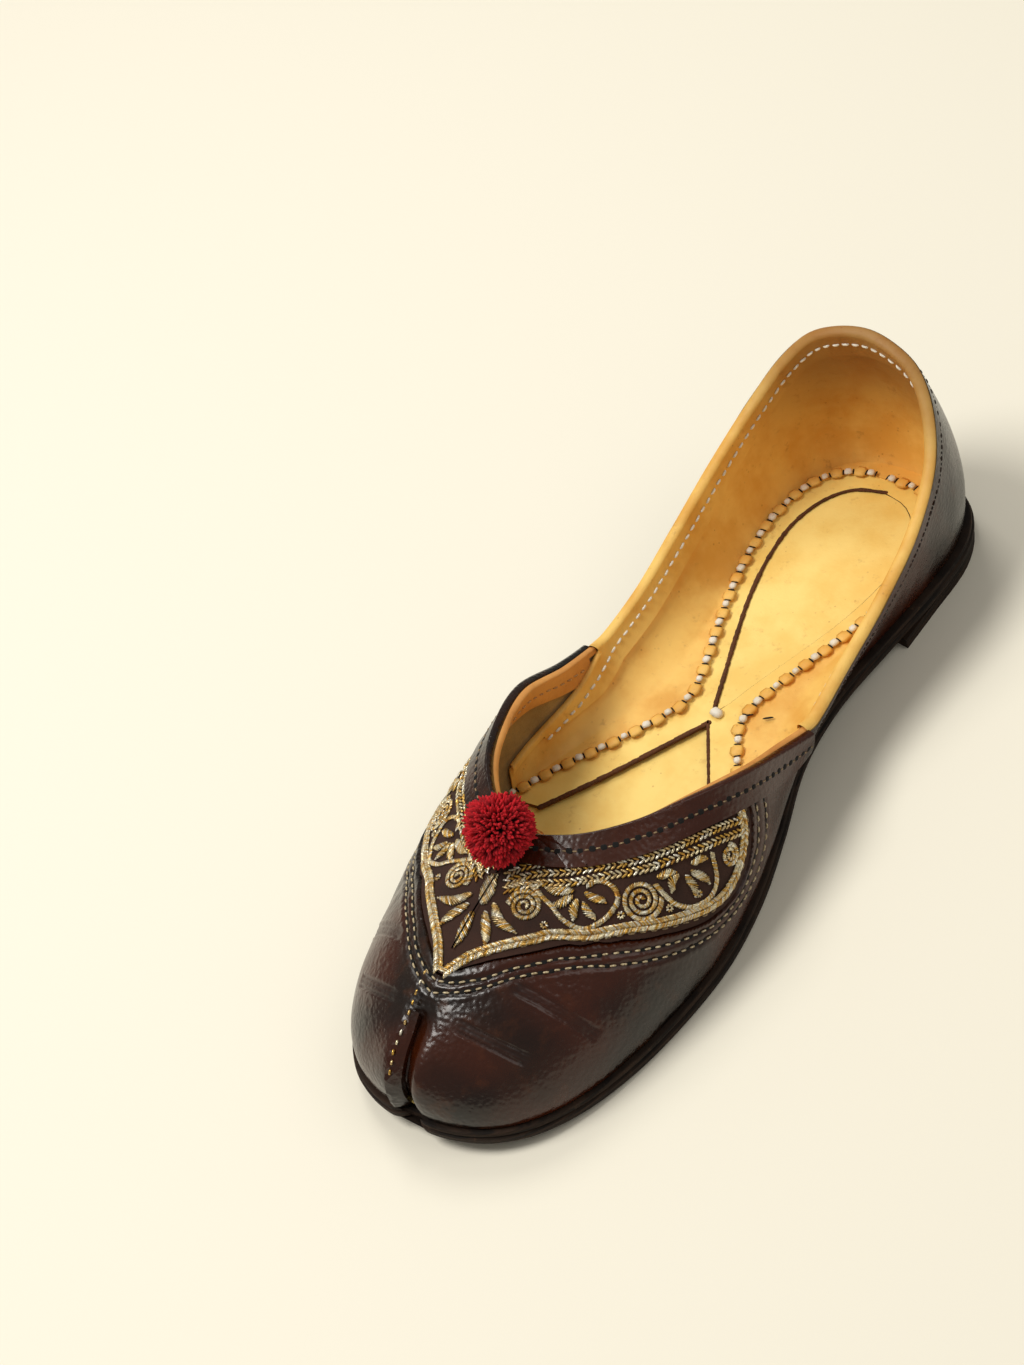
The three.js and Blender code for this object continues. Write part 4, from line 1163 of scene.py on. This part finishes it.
class Stitches:
    """Collects stitches, then makes one object of them."""

    def __init__(self):
        self.rows = []

    def add(self, start, end, normal, width, height, tone=0.5, both_ways=False):
        """Stitches from start to end points in millimetres, over the normal's side."""
        start, end, normal = (np.atleast_2d(a) for a in (start, end, normal))
        count = len(start)
        values = [np.broadcast_to(np.asarray(a, float), count) for a in (width, height, tone)]
        normal = np.broadcast_to(normal, start.shape)
        for flip in FLIPS[: 2 if both_ways else 1]:
            self.rows.append((start * flip, end * flip, normal * flip, *values))

    def build(self, name):
        """One object of all the stitches, with each one's tone and the way along it."""
        start, end, normal, width, height, tone = (np.concatenate(c) for c in zip(*self.rows))
        length = np.linalg.norm(end - start, axis=1)
        forward = (end - start) / length[:, None]
        side = unit(np.cross(normal, forward))
        raised = np.cross(forward, side)
        middle = (start + end) / 2
        x, y, z = (PILLOW[None, :, k] for k in range(3))
        arch = (1 - x**2) * 0.35
        points = middle[:, None] + forward[:, None] * (x * length[:, None] / 2)[..., None]
        points = points + side[:, None] * (y * width[:, None] / 2)[..., None]
        points = points + raised[:, None] * ((z * 0.5 + arch) * height[:, None])[..., None]
        count, per = len(start), len(PILLOW)
        mesh = bpy.data.meshes.new(name)
        faces = [tuple(v + k * per for v in f) for k in range(count) for f in PILLOW_FACES]
        mesh.from_pydata((points.reshape(-1, 3) * MM).tolist(), [], faces)
        mesh.attributes.new("tone", "FLOAT", "POINT").data.foreach_set("value", np.repeat(tone, per))
        across = np.tile(PILLOW[:, 0] * 0.5 + 0.5, count)
        mesh.attributes.new("way", "FLOAT", "POINT").data.foreach_set("value", across)
        mesh.polygons.foreach_set("use_smooth", np.ones(len(mesh.polygons), bool))
        obj = bpy.data.objects.new(name, mesh)
        bpy.context.scene.collection.objects.link(obj)
        return obj


def spaced(points, pitch):
    """Points at an even pitch along a polyline, with their tangents."""
    lengths = np.concatenate([[0], np.cumsum(np.linalg.norm(np.diff(points, axis=0), axis=1))])
    count = max(2, int(round(lengths[-1] / pitch)) + 1)
    marks = np.linspace(0, lengths[-1], count)
    here = np.stack([np.interp(marks, lengths, points[:, k]) for k in range(3)], axis=1)
    ways = np.gradient(here, axis=0)
    return here, unit(ways), marks / lengths[-1]


def laid_flat(ways, normals):
    """Directions along and across, both lying on the leather."""
    along = unit(ways - normals * (ways * normals).sum(axis=1, keepdims=True))
    return along, np.cross(normals, along)


# %% [markdown]
# The gold and silver embroidery is zari thread: satin stitches laid side by side over a line make
# its cords, leaves and spirals, and chain stitches make the chevron rows under the binding. It is
# drawn once for the right side of the panel and mirrored, as on the real shoe.

# %% Lines of the embroidery, as rib number and height along the rib
BORDER = [
    (15.86, 0.985), (15.33, 0.908), (14.98, 0.848), (14.60, 0.791), (14.22, 0.737), (13.84, 0.689),
    (13.49, 0.637), (13.10, 0.597), (12.72, 0.585), (12.20, 0.569), (11.75, 0.547), (11.31, 0.519),
    (10.89, 0.487), (10.48, 0.447), (10.16, 0.428), (9.87, 0.445), (9.63, 0.501), (9.44, 0.583),
    (9.35, 0.663), (9.30, 0.770),
]
CHEVRON_TOP = [
    (13.80, 0.965), (13.61, 0.940), (13.40, 0.900), (13.12, 0.866), (12.84, 0.858), (12.37, 0.866),
    (11.86, 0.870), (11.46, 0.867), (11.06, 0.862), (10.69, 0.858), (10.32, 0.852), (10.05, 0.842),
    (9.75, 0.830), (9.50, 0.811), (9.32, 0.788),
]
CHEVRON_LOW = [
    (14.02, 0.940), (13.78, 0.890), (13.50, 0.835), (13.18, 0.792), (12.73, 0.778), (12.14, 0.785),
    (11.71, 0.779), (11.30, 0.771), (10.90, 0.763), (10.52, 0.747), (10.26, 0.728), (9.95, 0.707),
    (9.70, 0.682), (9.50, 0.660),
]
SCROLLS = [
    [(13.89, 0.924), (13.74, 0.902), (13.68, 0.848), (13.67, 0.808), (13.62, 0.763), (13.54, 0.695),
     (13.27, 0.636), (12.90, 0.622), (12.56, 0.643), (12.29, 0.685), (12.27, 0.735), (12.52, 0.762),
     (12.81, 0.757)],
    [(11.36, 0.693), (11.25, 0.629), (11.12, 0.575), (10.86, 0.518), (10.57, 0.488), (10.36, 0.490),
     (10.23, 0.530), (10.19, 0.581), (10.18, 0.640), (10.16, 0.675)],
]
# Spirals: centre, outer radius in millimetres, turns, and the angle where the tail leaves.
SPIRALS = [
    ((13.99, 0.842), 4.3, 2.6, 200), ((11.76, 0.655), 5.3, 2.9, 35), ((9.83, 0.590), 2.9, 1.9, 150),
]
# Leaves: base, middle, tip and width in millimetres.
LEAVES = [
    ((13.14, 0.755), (13.36, 0.783), (13.53, 0.822), 2.0),
    ((13.20, 0.741), (13.39, 0.745), (13.60, 0.764), 2.0),
    ((13.12, 0.720), (13.30, 0.702), (13.38, 0.677), 1.9),
    ((13.00, 0.700), (12.99, 0.660), (12.92, 0.638), 1.8),
    ((12.88, 0.735), (12.77, 0.709), (12.60, 0.680), 1.9),
    ((10.88, 0.683), (11.04, 0.667), (11.12, 0.629), 1.8),
    ((10.73, 0.659), (10.69, 0.600), (10.71, 0.545), 1.9),
    ((10.62, 0.667), (10.49, 0.611), (10.38, 0.550), 1.9),
    ((10.57, 0.701), (10.42, 0.689), (10.29, 0.668), 1.8),
    ((11.25, 0.722), (11.07, 0.715), (10.89, 0.700), 1.7),
]
# The palmette over the V's tip: leaves of one side, the one on the axis, and the bud above.
PALMETTE = [
    ((14.54, 0.955), (14.80, 0.915), (15.04, 0.878), 2.2),
    ((14.33, 0.945), (14.52, 0.880), (14.42, 0.800), 2.2),
]
AXIS_LEAF = ((14.66, 1.0), (15.0, 1.0), (15.35, 1.0), 2.3)
BUD = ((14.42, 1.0), (14.15, 1.0), (13.86, 1.0), 3.4)
ROSETTES = [(13.89, 0.735), (13.55, 0.850), (11.25, 0.570), (12.36, 0.622), (10.62, 0.545)]

# %% Zari stitches
THREAD = 0.46
zari_rng = np.random.default_rng(7)


def satin(stitches, line, width, pitch=0.6, slant=0.5, lift=0.0, both_ways=True):
    """Satin stitches side by side across a line; width is a number or a function of its share."""
    here, way, share = spaced(line, pitch)
    spots, normals = settle(here, lift)
    way, across = laid_flat(way, normals)
    wide = np.array([width(s) if callable(width) else width for s in share])
    wide = np.maximum(wide * zari_rng.uniform(0.88, 1.1, len(wide)), 0.35)
    half = (across + way * slant) / math.hypot(1, slant) * wide[:, None] / 2
    tone = zari_rng.uniform(0, 1, len(here))
    size = THREAD * zari_rng.uniform(0.85, 1.15, len(here))
    raised = 0.42 + 0.14 * np.minimum(wide, 2.2)
    stitches.add(spots - half, spots + half, normals, size, raised, tone, both_ways)


def leaf_width(wide):
    """Width at each share of a leaf's length: blunt at its base, pointed at its tip."""
    full = wide * 1.85
    return lambda s: full * max(0.2, math.sin(math.pi * min(1, 0.08 + 0.92 * s)) ** 0.72)


def leaf(stitches, base, middle, tip, wide, both_ways=True):
    """A leaf of slanted stitches from its base to its tip."""
    line = rib_line([base, middle, tip])
    satin(stitches, line, leaf_width(wide), 0.54, 0.75, 0.12, both_ways)


def plane_at(centre):
    """A place on the last, with the directions to its side and forward from it."""
    middle = skin(*centre)
    normal = skin_normal(*centre)
    forward = unit(np.cross(normal, [1.0, 0, 0]))
    return middle, np.cross(forward, normal), forward


def spiral_line(centre, radius, turns, leaves_at):
    """A spiral around a place on the panel, from its tail in to the middle."""
    middle, side, forward = plane_at(centre)
    t = np.linspace(0, 1, 160)
    angle = math.radians(leaves_at) - t * turns * 2 * math.pi
    reach = (radius * (1 - t) + 0.55 * t)[:, None]
    return middle + reach * (np.cos(angle)[:, None] * side + np.sin(angle)[:, None] * forward)


def rosette(stitches, centre, radius=1.15, petals=8):
    """A ring of short stitches around a place on the panel."""
    middle, side, forward = plane_at(centre)
    for k in range(petals):
        angle = k * 2 * math.pi / petals + 0.3
        out = math.cos(angle) * side + math.sin(angle) * forward
        ends = np.array([middle + out * 0.25, middle + out * radius])
        spots, normals = settle(ends, 0.0)
        tone = zari_rng.uniform(0, 1)
        stitches.add(spots[:1], spots[1:], normals[:1], 0.5, 0.45, tone, both_ways=True)


# %% Scrolls, spirals, leaves and the palmette
motifs = Stitches()
for line in SCROLLS:
    satin(motifs, rib_line(line), 1.75, 0.45)
for centre, radius, turns, leaves_at in SPIRALS:
    satin(motifs, spiral_line(centre, radius, turns, leaves_at), lambda s: 1.75 - 0.5 * s, 0.44)
for base, middle, tip, wide in LEAVES + PALMETTE:
    leaf(motifs, base, middle, tip, wide)
leaf(motifs, *AXIS_LEAF, both_ways=False)
leaf(motifs, *BUD, both_ways=False)
for centre in ROSETTES:
    rosette(motifs, centre)
finish_piece(motifs.build("zari_scrolls"), ZARI, None)

# %% Double cord along the panel's lower edge and up its wing end
cord = Stitches()
border = rib_line(BORDER)
border_spots, border_normals = settle(border)
border_way = unit(np.gradient(border_spots, axis=0))
border_across = np.cross(border_normals, border_way)
for shift, slant in ((-0.70, 0.75), (0.70, -0.75)):
    satin(cord, border_spots + border_across * shift, 2.0, 0.44, slant, 0.05)
finish_piece(cord.build("zari_border"), ZARI, None)

# %% Chevron rows under the binding
CHEVRON_ROWS = 3
chevrons = Stitches()
top_line, low_line = rib_line(CHEVRON_TOP), rib_line(CHEVRON_LOW)
share = np.linspace(0, 1, 200)
top_even, low_even = (
    np.stack([np.interp(share, np.linspace(0, 1, len(line)), line[:, k]) for k in range(3)], 1)
    for line in (top_line, low_line)
)
for row in range(CHEVRON_ROWS):
    level = row / (CHEVRON_ROWS - 1)
    here, way, _ = spaced(top_even * (1 - level) + low_even * level, 1.45)
    spots, normals = settle(here, 0.05)
    way, across = laid_flat(way, normals)
    for side in (-1, 1):
        tip = spots + way * zari_rng.uniform(0.8, 1.35, (len(spots), 1))
        foot = spots - way * 0.75 + across * side * 1.1
        tone = zari_rng.uniform(0, 1, len(spots))
        chevrons.add(foot, tip, normals, 0.72, 0.75, tone, both_ways=True)
finish_piece(chevrons.build("zari_chevrons"), ZARI, None)

# %% [markdown]
# The seams are running stitches: a bit of thread on top, then a hole where it dives. The hole's
# shade is painted: a dark, flat pillow at each end, because a real one is darker than any relief
# could make it.

# %% Thread rows
cream_thread = Stitches()
tan_thread = Stitches()
dark_thread = Stitches()
white_thread = Stitches()
orange_thread = Stitches()
gold_thread = Stitches()
hole_shades = Stitches()
row_rng = np.random.default_rng(11)


def seam(stitches, line, normals, pitch, share, width, height, hole=0.0, sunk=0.22,
         both_ways=True):
    """A row of stitches along a dense line with its normals, and holes between them."""
    here, way, _ = spaced(line, pitch)
    tree = nearest_tree(line)
    normal = np.array([normals[tree.find(Vector(p))[1]] for p in here])
    way, across = laid_flat(way, normal)
    count = len(here)
    lean = across * row_rng.normal(0, 0.07, (count, 1))
    half = (way + lean) * pitch * share / 2 * row_rng.uniform(0.86, 1.08, (count, 1))
    spots = here + across * row_rng.normal(0, 0.06, (count, 1))
    tone = row_rng.uniform(0, 1, count)
    stitches.add(spots - half, spots + half, normal, width, height, tone, both_ways)
    if hole:
        dark = spots[:-1] * 0.5 + spots[1:] * 0.5 - normal[:-1] * sunk
        reach = way[:-1] * hole * 0.55
        hole_shades.add(dark - reach, dark + reach, normal[:-1], hole, 0.3, both_ways=both_ways)


def skin_line(ribs, low, offset, facing=1):
    """A line at a height over the last, with normals that face out, or in where facing is -1."""
    v = np.array([low(r) for r in ribs])
    return skin_out(ribs, v, offset), skin_normal(ribs, v) * facing


# Each row: its thread, the line with its normals, pitch, share of thread in it, width, height.
seam(cream_thread, *settle(near_line, -0.18), 2.9, 0.60, 0.55, 0.55, hole=1.15 * 1.35)
seam(cream_thread, *settle(far_line, -0.18), 2.9, 0.60, 0.55, 0.55, hole=1.35)
seam(dark_thread, *settle(wings_back, -0.1), 3.0, 0.6, 0.6, 0.5, hole=0.8)
seam(tan_thread, *settle(beside(rib_line(BORDER), -2.0), -0.25), 3.1, 0.62, 0.5, 0.5, hole=0.6)

ROW_MARKS = np.linspace(0, 13.4, 90)
binding_row, band_row, facing_row = (below_top(width, ROW_MARKS) for width in (4.2, 3.6, 3.4))


def band_row_inside(rib):
    """The same distance from the lining's own edge where that falls under the vamp."""
    return min(band_row(rib), lining_top(rib) - (1 - band_row(rib)))


on_binding = skin_line(np.linspace(7.1, 13.35, 220), binding_row, TRIM_FACE - 0.1)
seam(tan_thread, *on_binding, 3.0, 0.42, 0.45, 0.45, hole=1.9, sunk=0.02)
on_band = skin_line(np.linspace(0, 8.4, 260), band_row_inside, BAND_FACE - 0.05, -1)
seam(white_thread, *on_band, 3.1, 0.72, 0.85, 0.7)
on_facing = skin_line(np.linspace(7.6, 13.2, 170), facing_row, FACING_FACE - 0.02, -1)
seam(orange_thread, *on_facing, 2.9, 0.66, 0.55, 0.5)
on_quarter = skin_line(np.linspace(0, 6.9, 220), band_row, -VAMP_STEP)
seam(dark_thread, *on_quarter, 3.1, 0.5, 0.45, 0.35, hole=0.9, sunk=0.1)

# %% Toe seam's tab
tab_line = along_curve(RIDGE_CURVE, np.linspace(0.62, 0.995, 60))
tab_line[:, 0] = -3.0
seam(gold_thread, *settle(tab_line, 1.75), 2.6, 0.62, 0.7, 0.6, both_ways=False)

# %% [markdown]
# White thongs hold the lining's edge down. Each comes up for a short square and dives through a
# slit, and the tan leather puckers between two of them.

# %% Thongs that hold the lining's edge down
THONG_PITCH = 7.0
WHITE_HALF = 1.15
WHITE_WIDTH = 2.3
SLIT_AHEAD = 1.5
SLIT_HALF = 1.15
PUCKER_HALF = 2.1
PUCKER_WIDTH = 4.1
PUCKER_SINK = 0.42
thongs = Stitches()
bumps = Stitches()
slit_shades = Stitches()
thong_dense = thong_point(np.linspace(0, LINING_END, 400), LINING_THICKNESS + GAP)
thong_dense[0, 0] = 0
stations, station_way, _ = spaced(thong_dense, THONG_PITCH)
up = np.array([0.0, 0.0, 1.0])
for flip in FLIPS:
    for k, (spot, way) in enumerate(zip(stations, station_way)):
        if k == 0 and flip[0] < 0:
            continue
        spot, way = spot * flip, way * flip
        across = np.cross(up, way)
        size = row_rng.uniform(0.85, 1.15)
        turn = unit(way + across * row_rng.normal(0, 0.16))
        white = spot + up * 0.05
        thongs.add(white - turn * WHITE_HALF * size, white + turn * WHITE_HALF * size, up,
                   WHITE_WIDTH * size, 1.3, row_rng.uniform(0, 1))
        # Dark pillows at the slits: painted shade.
        for end in (-1, 1):
            cut = spot + way * end * SLIT_AHEAD
            slit_shades.add(cut - across * SLIT_HALF, cut + across * SLIT_HALF, up, 0.5, 0.4)
        middle = spot + way * THONG_PITCH / 2 - up * PUCKER_SINK
        if k < len(stations) - 1:
            bumps.add(middle - way * PUCKER_HALF, middle + way * PUCKER_HALF, up, PUCKER_WIDTH,
                      1.35, row_rng.uniform(0, 1))

# %% Cut edges of the pad and the flaps: dark strips, partly own colour, partly painted shade
cut_edges_and_shade = Stitches()
pad_side = catmull_rom([place(s * LENGTH, h * BALL_HALF, 0) for s, h in PAD_OPENING], False)[0]
flap_side = np.linspace(place(FLAP_START * LENGTH, 0, 0),
                        place(FLAP_END * LENGTH, FLAP_SPREAD * BALL_HALF, 0), 60)
for edge, side, wide in ((pad_side, -1, 1.4), (flap_side, -1, 1.7), (flap_side, 1, 1.0)):
    spots, ways, _ = spaced(edge * [side, 1, 1], 1.2)
    spots[:, 2] = frame_top(HEEL_SEAT - spots[:, 1]) - 0.15
    for spot, way in zip(spots, ways):
        cut_edges_and_shade.add(spot - way * 1.1, spot + way * 1.1, up, wide * row_rng.uniform(0.8, 1.15), 0.8)

# %% Knot, and painted shade in two slits in the right flap and a pinhole in the left wall
KNOT_PLACE = 107.5
KNOT = place(KNOT_PLACE, 0.8, float(frame_top(KNOT_PLACE)) + 0.5)
KNOT_REACH = np.array([2.0, -0.5, 0])
SLIT_REACH = np.array([1.3, 0.9, 0])
PINHOLE_REACH = np.array([0, 0.45, 0])
thongs.add(KNOT - KNOT_REACH, KNOT + KNOT_REACH, up, 3.2, 2.0, 0.8)
for across, forward in ((15.6, -69.6), (9.9, -71.0)):
    lining_height = float(frame_top(HEEL_SEAT - forward)) + LINING_THICKNESS + GAP
    slit = np.array([across, forward, lining_height])
    slit_shades.add(slit - SLIT_REACH, slit + SLIT_REACH, up, 0.7, 0.4)
pinhole, pinhole_way = settle([(-28.0, -85.8, 14.4)], LINING_FACE - 0.05)
slit_shades.add(pinhole - PINHOLE_REACH, pinhole + PINHOLE_REACH, -pinhole_way, 0.9, 0.3)

# %% One object for each kind of thread
for stitches, name, material, slot in (
    (cream_thread, "seam_thread_cream", SEAM_THREAD, "upper_leather"),
    (tan_thread, "seam_thread_tan", TAN_THREAD, "upper_leather"),
    (dark_thread, "seam_thread_dark", DARK_THREAD, "upper_leather"),
    (white_thread, "band_thread_white", CREAM, "lining_leather"),
    (orange_thread, "facing_thread", ORANGE_THREAD, "lining_leather"),
    (gold_thread, "tab_thread_gold", ZARI, "embroidery"),
    (hole_shades, "stitch_hole_shades", HOLE_SHADE, "upper_leather"),
    (thongs, "thongs_white", THONG, "lining_leather"),
    (bumps, "thong_puckers", TAN, "lining_leather"),
    (slit_shades, "thong_slit_shades", HOLE_SHADE, "lining_leather"),
    (cut_edges_and_shade, "insole_cut_edges_and_shade", CUT_EDGE_AND_SHADE, "insole_leather"),
):
    finish_piece(stitches.build(name), material, None)

# %% [markdown]
# The topline's edge is rolled: the tan band folds over the quarter's rim, and the binding and the
# facing meet on the vamp's. Each is a half-round strip from one face of the leather to the other.

# %% Rolled edges
ROLL_SKIRT = 1.4


def rolled(name, ribs, outer_offset, inner_offset, rise, material, edge=rib_top):
    """A half-round strip over an upper edge between two heights over the last."""
    v = np.array([edge(r) for r in ribs])
    start = skin_out(ribs, v, outer_offset)
    end = skin_out(ribs, v, inner_offset)
    up_rib = unit(skin(ribs, v) - skin(ribs, v - 0.02))
    up_rib[ribs <= 0, 0] = 0
    turns = np.linspace(0, np.pi, 13)
    middle, reach = (start + end) / 2, (start - end) / 2
    points = np.stack([middle + reach * np.cos(t) + up_rib * rise * np.sin(t) for t in turns], 1)
    down = np.stack([start - up_rib * ROLL_SKIRT, end - up_rib * ROLL_SKIRT], 1)
    points = np.concatenate([down[:, :1], points, down[:, 1:]], axis=1)
    obj = grid_from(name, points)
    if obj.data.polygons[len(obj.data.polygons) // 2].normal.z < 0:
        obj.data.flip_normals()
    mirror(obj)
    smooth_shading(obj, 80)
    finish_piece(obj, material, None)


quarter_ribs = np.linspace(0, 7.05, 200)
slope_ribs = np.linspace(6.9, 9.08, 90)
vamp_ribs = np.linspace(7.02, THROAT_RIB, 200)
rolled("quarter_rolled_edge", quarter_ribs, -0.95, BAND_FACE, 1.3, TAN)
rolled("lining_rolled_edge", slope_ribs, -WALL - GAP, BAND_FACE, 1.0, TAN,
       lining_top)
rolled("binding_rolled_edge", vamp_ribs, TRIM_FACE, -1.5, 0.75, BROWN)
rolled("facing_rolled_edge", vamp_ribs, -1.2, FACING_FACE, 0.6, ORANGE_TAN)

# %% Pieces that keep their plain form take their leathers
for node, material, slot in (
    ("insole_frame", INSOLE_CUT, "insole_leather"), ("heel_pad", PAD_CUT, "insole_leather"),
    ("heel_lift", SOLE_EDGE, "sole_leather"), ("toe_seam_tab", BROWN, "upper_leather"),
):
    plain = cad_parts[node]
    set_material(plain, material)

# %% [markdown]
# The pompom is wool yarn, tied in the middle and cut: strands spread evenly over a ball by the
# golden angle, each a little off its direction and length. Where a strand would run into the
# binding, its tip is lifted onto it.

# %% Pompom
POMPOM_RADIUS = 10.3
POMPOM_HEART = np.array([-0.6, -155.8, 55.8])
YARNS = 1500
BINDING_PLACE = -149
BINDING_HEIGHT = 47.9
BINDING_SLOPE = 0.16
GOLDEN_ANGLE = math.pi * (3 - math.sqrt(5))
yarn = Stitches()
yarn_rng = np.random.default_rng(3)
k = np.arange(YARNS)
level = 1 - 2 * (k + 0.5) / YARNS
turn = k * GOLDEN_ANGLE
flat = np.sqrt(1 - level**2)
out = np.stack([flat * np.cos(turn), flat * np.sin(turn), level], axis=1)
out = unit(out + yarn_rng.normal(0, 0.10, out.shape))
lumps = 0.5 * np.sin(5 * out[:, 0] + 1) + 0.5 * np.sin(4 * out[:, 1] + 3 * out[:, 2])
reach = POMPOM_RADIUS * (0.90 + 0.08 * lumps + yarn_rng.normal(0, 0.05, YARNS))
reach = np.minimum(reach, POMPOM_RADIUS * 1.03)
root = POMPOM_HEART + out * POMPOM_RADIUS * 0.42
bend = unit(np.cross(out, yarn_rng.normal(0, 1, out.shape)))
tip = POMPOM_HEART + out * reach[:, None] + bend * yarn_rng.uniform(0, 0.9, (YARNS, 1))
binding_top = BINDING_HEIGHT - BINDING_SLOPE * (BINDING_PLACE - tip[:, 1])
tip[:, 2] = np.maximum(tip[:, 2], binding_top)
yarn.add(root, tip, bend, yarn_rng.uniform(0.75, 1.05, YARNS), 0.95,
         yarn_rng.uniform(0, 1, YARNS))
finish_piece(yarn.build("pompom_yarn"), CRIMSON, "pompom")

# %% [markdown]
# The shoe stands on cream paper under soft daylight. The camera was fitted to the photo: its three
# angles, its distance and a lens whose focal length is known in the photo's pixels.

# %% Floor and light
LIGHT_AIM = Vector((0, -0.09, 0.03))
WORLD_STRENGTH = 0.30
clear_selection()
bpy.ops.mesh.primitive_plane_add(size=6, location=(0, 0, 0))
floor = bpy.context.object
floor.name = "floor"
set_material(floor, Finish("paper").paint(colour("f5efdf"), 0.9))
floor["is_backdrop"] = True


def soft_light(name, where, size, power, tint):
    """A round area lamp that faces the shoe; lengths in metres, power in watts."""
    bpy.ops.object.light_add(type="AREA", location=where)
    lamp = bpy.context.object
    lamp.name = name
    lamp.data.shape = "DISK"
    lamp.data.size = size
    lamp.data.energy = power
    lamp.data.color = tint
    lamp.rotation_euler = (LIGHT_AIM - Vector(where)).to_track_quat("-Z", "Y").to_euler()
    lamp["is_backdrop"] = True


soft_light("window", (-0.60, 0.42, 1.18), 0.5, 4.5, (1, 0.985, 0.93))
soft_light("sheen", (-0.46, -0.58, 1.27), 0.6, 12.5, (1, 0.985, 0.94))
soft_light("fill", (0.9, 0.35, 1.3), 1.0, 3, (1, 0.98, 0.93))
bpy.context.scene.view_settings.view_transform = "Standard"
world = bpy.data.worlds.new("studio")
bpy.context.scene.world = world
world.use_nodes = True
background = world.node_tree.nodes["Background"]
background.inputs["Color"].default_value = (1.0, 0.97, 0.90, 1)
background.inputs["Strength"].default_value = WORLD_STRENGTH

# %% Camera
AZIMUTH, ELEVATION, ROLL = (math.radians(d) for d in (51.97, 46.22, -21.11))
SHOE_MIDDLE = Vector((0, -90, 25))
AIM_LEFT = 42.75
AIM_UP = 11.05
CAMERA_AWAY = 808.2
SENSOR_WIDTH = 36
FOCAL_PIXELS = 3000
PHOTO_WIDTH = 1024
back = Vector((math.sin(AZIMUTH) * math.cos(ELEVATION), -math.cos(AZIMUTH) * math.cos(ELEVATION),
               math.sin(ELEVATION)))
right = Vector((math.cos(AZIMUTH), math.sin(AZIMUTH), 0))
upward = back.cross(right)
turned_right = math.cos(ROLL) * right + math.sin(ROLL) * upward
turned_up = math.cos(ROLL) * upward - math.sin(ROLL) * right
aim = SHOE_MIDDLE - AIM_LEFT * turned_right + AIM_UP * turned_up
camera_data = bpy.data.cameras.new("camera")
camera_data.sensor_fit = "HORIZONTAL"
camera_data.sensor_width = SENSOR_WIDTH
camera_data.lens = SENSOR_WIDTH * FOCAL_PIXELS / PHOTO_WIDTH
camera_data.clip_start = 0.05
camera = bpy.data.objects.new("camera", camera_data)
bpy.context.scene.collection.objects.link(camera)
axes = Matrix((turned_right, turned_up, back)).transposed().to_4x4()
axes.translation = (aim + back * CAMERA_AWAY) * MM
camera.matrix_world = axes
bpy.context.scene.camera = camera

# %% Measure and finish
VISUAL_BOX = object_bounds()
plain = [[[float(v) for v in corner] for corner in box] for box in (CAD_BOX, VISUAL_BOX)]
print("visual box in mm:", in_mm(VISUAL_BOX))
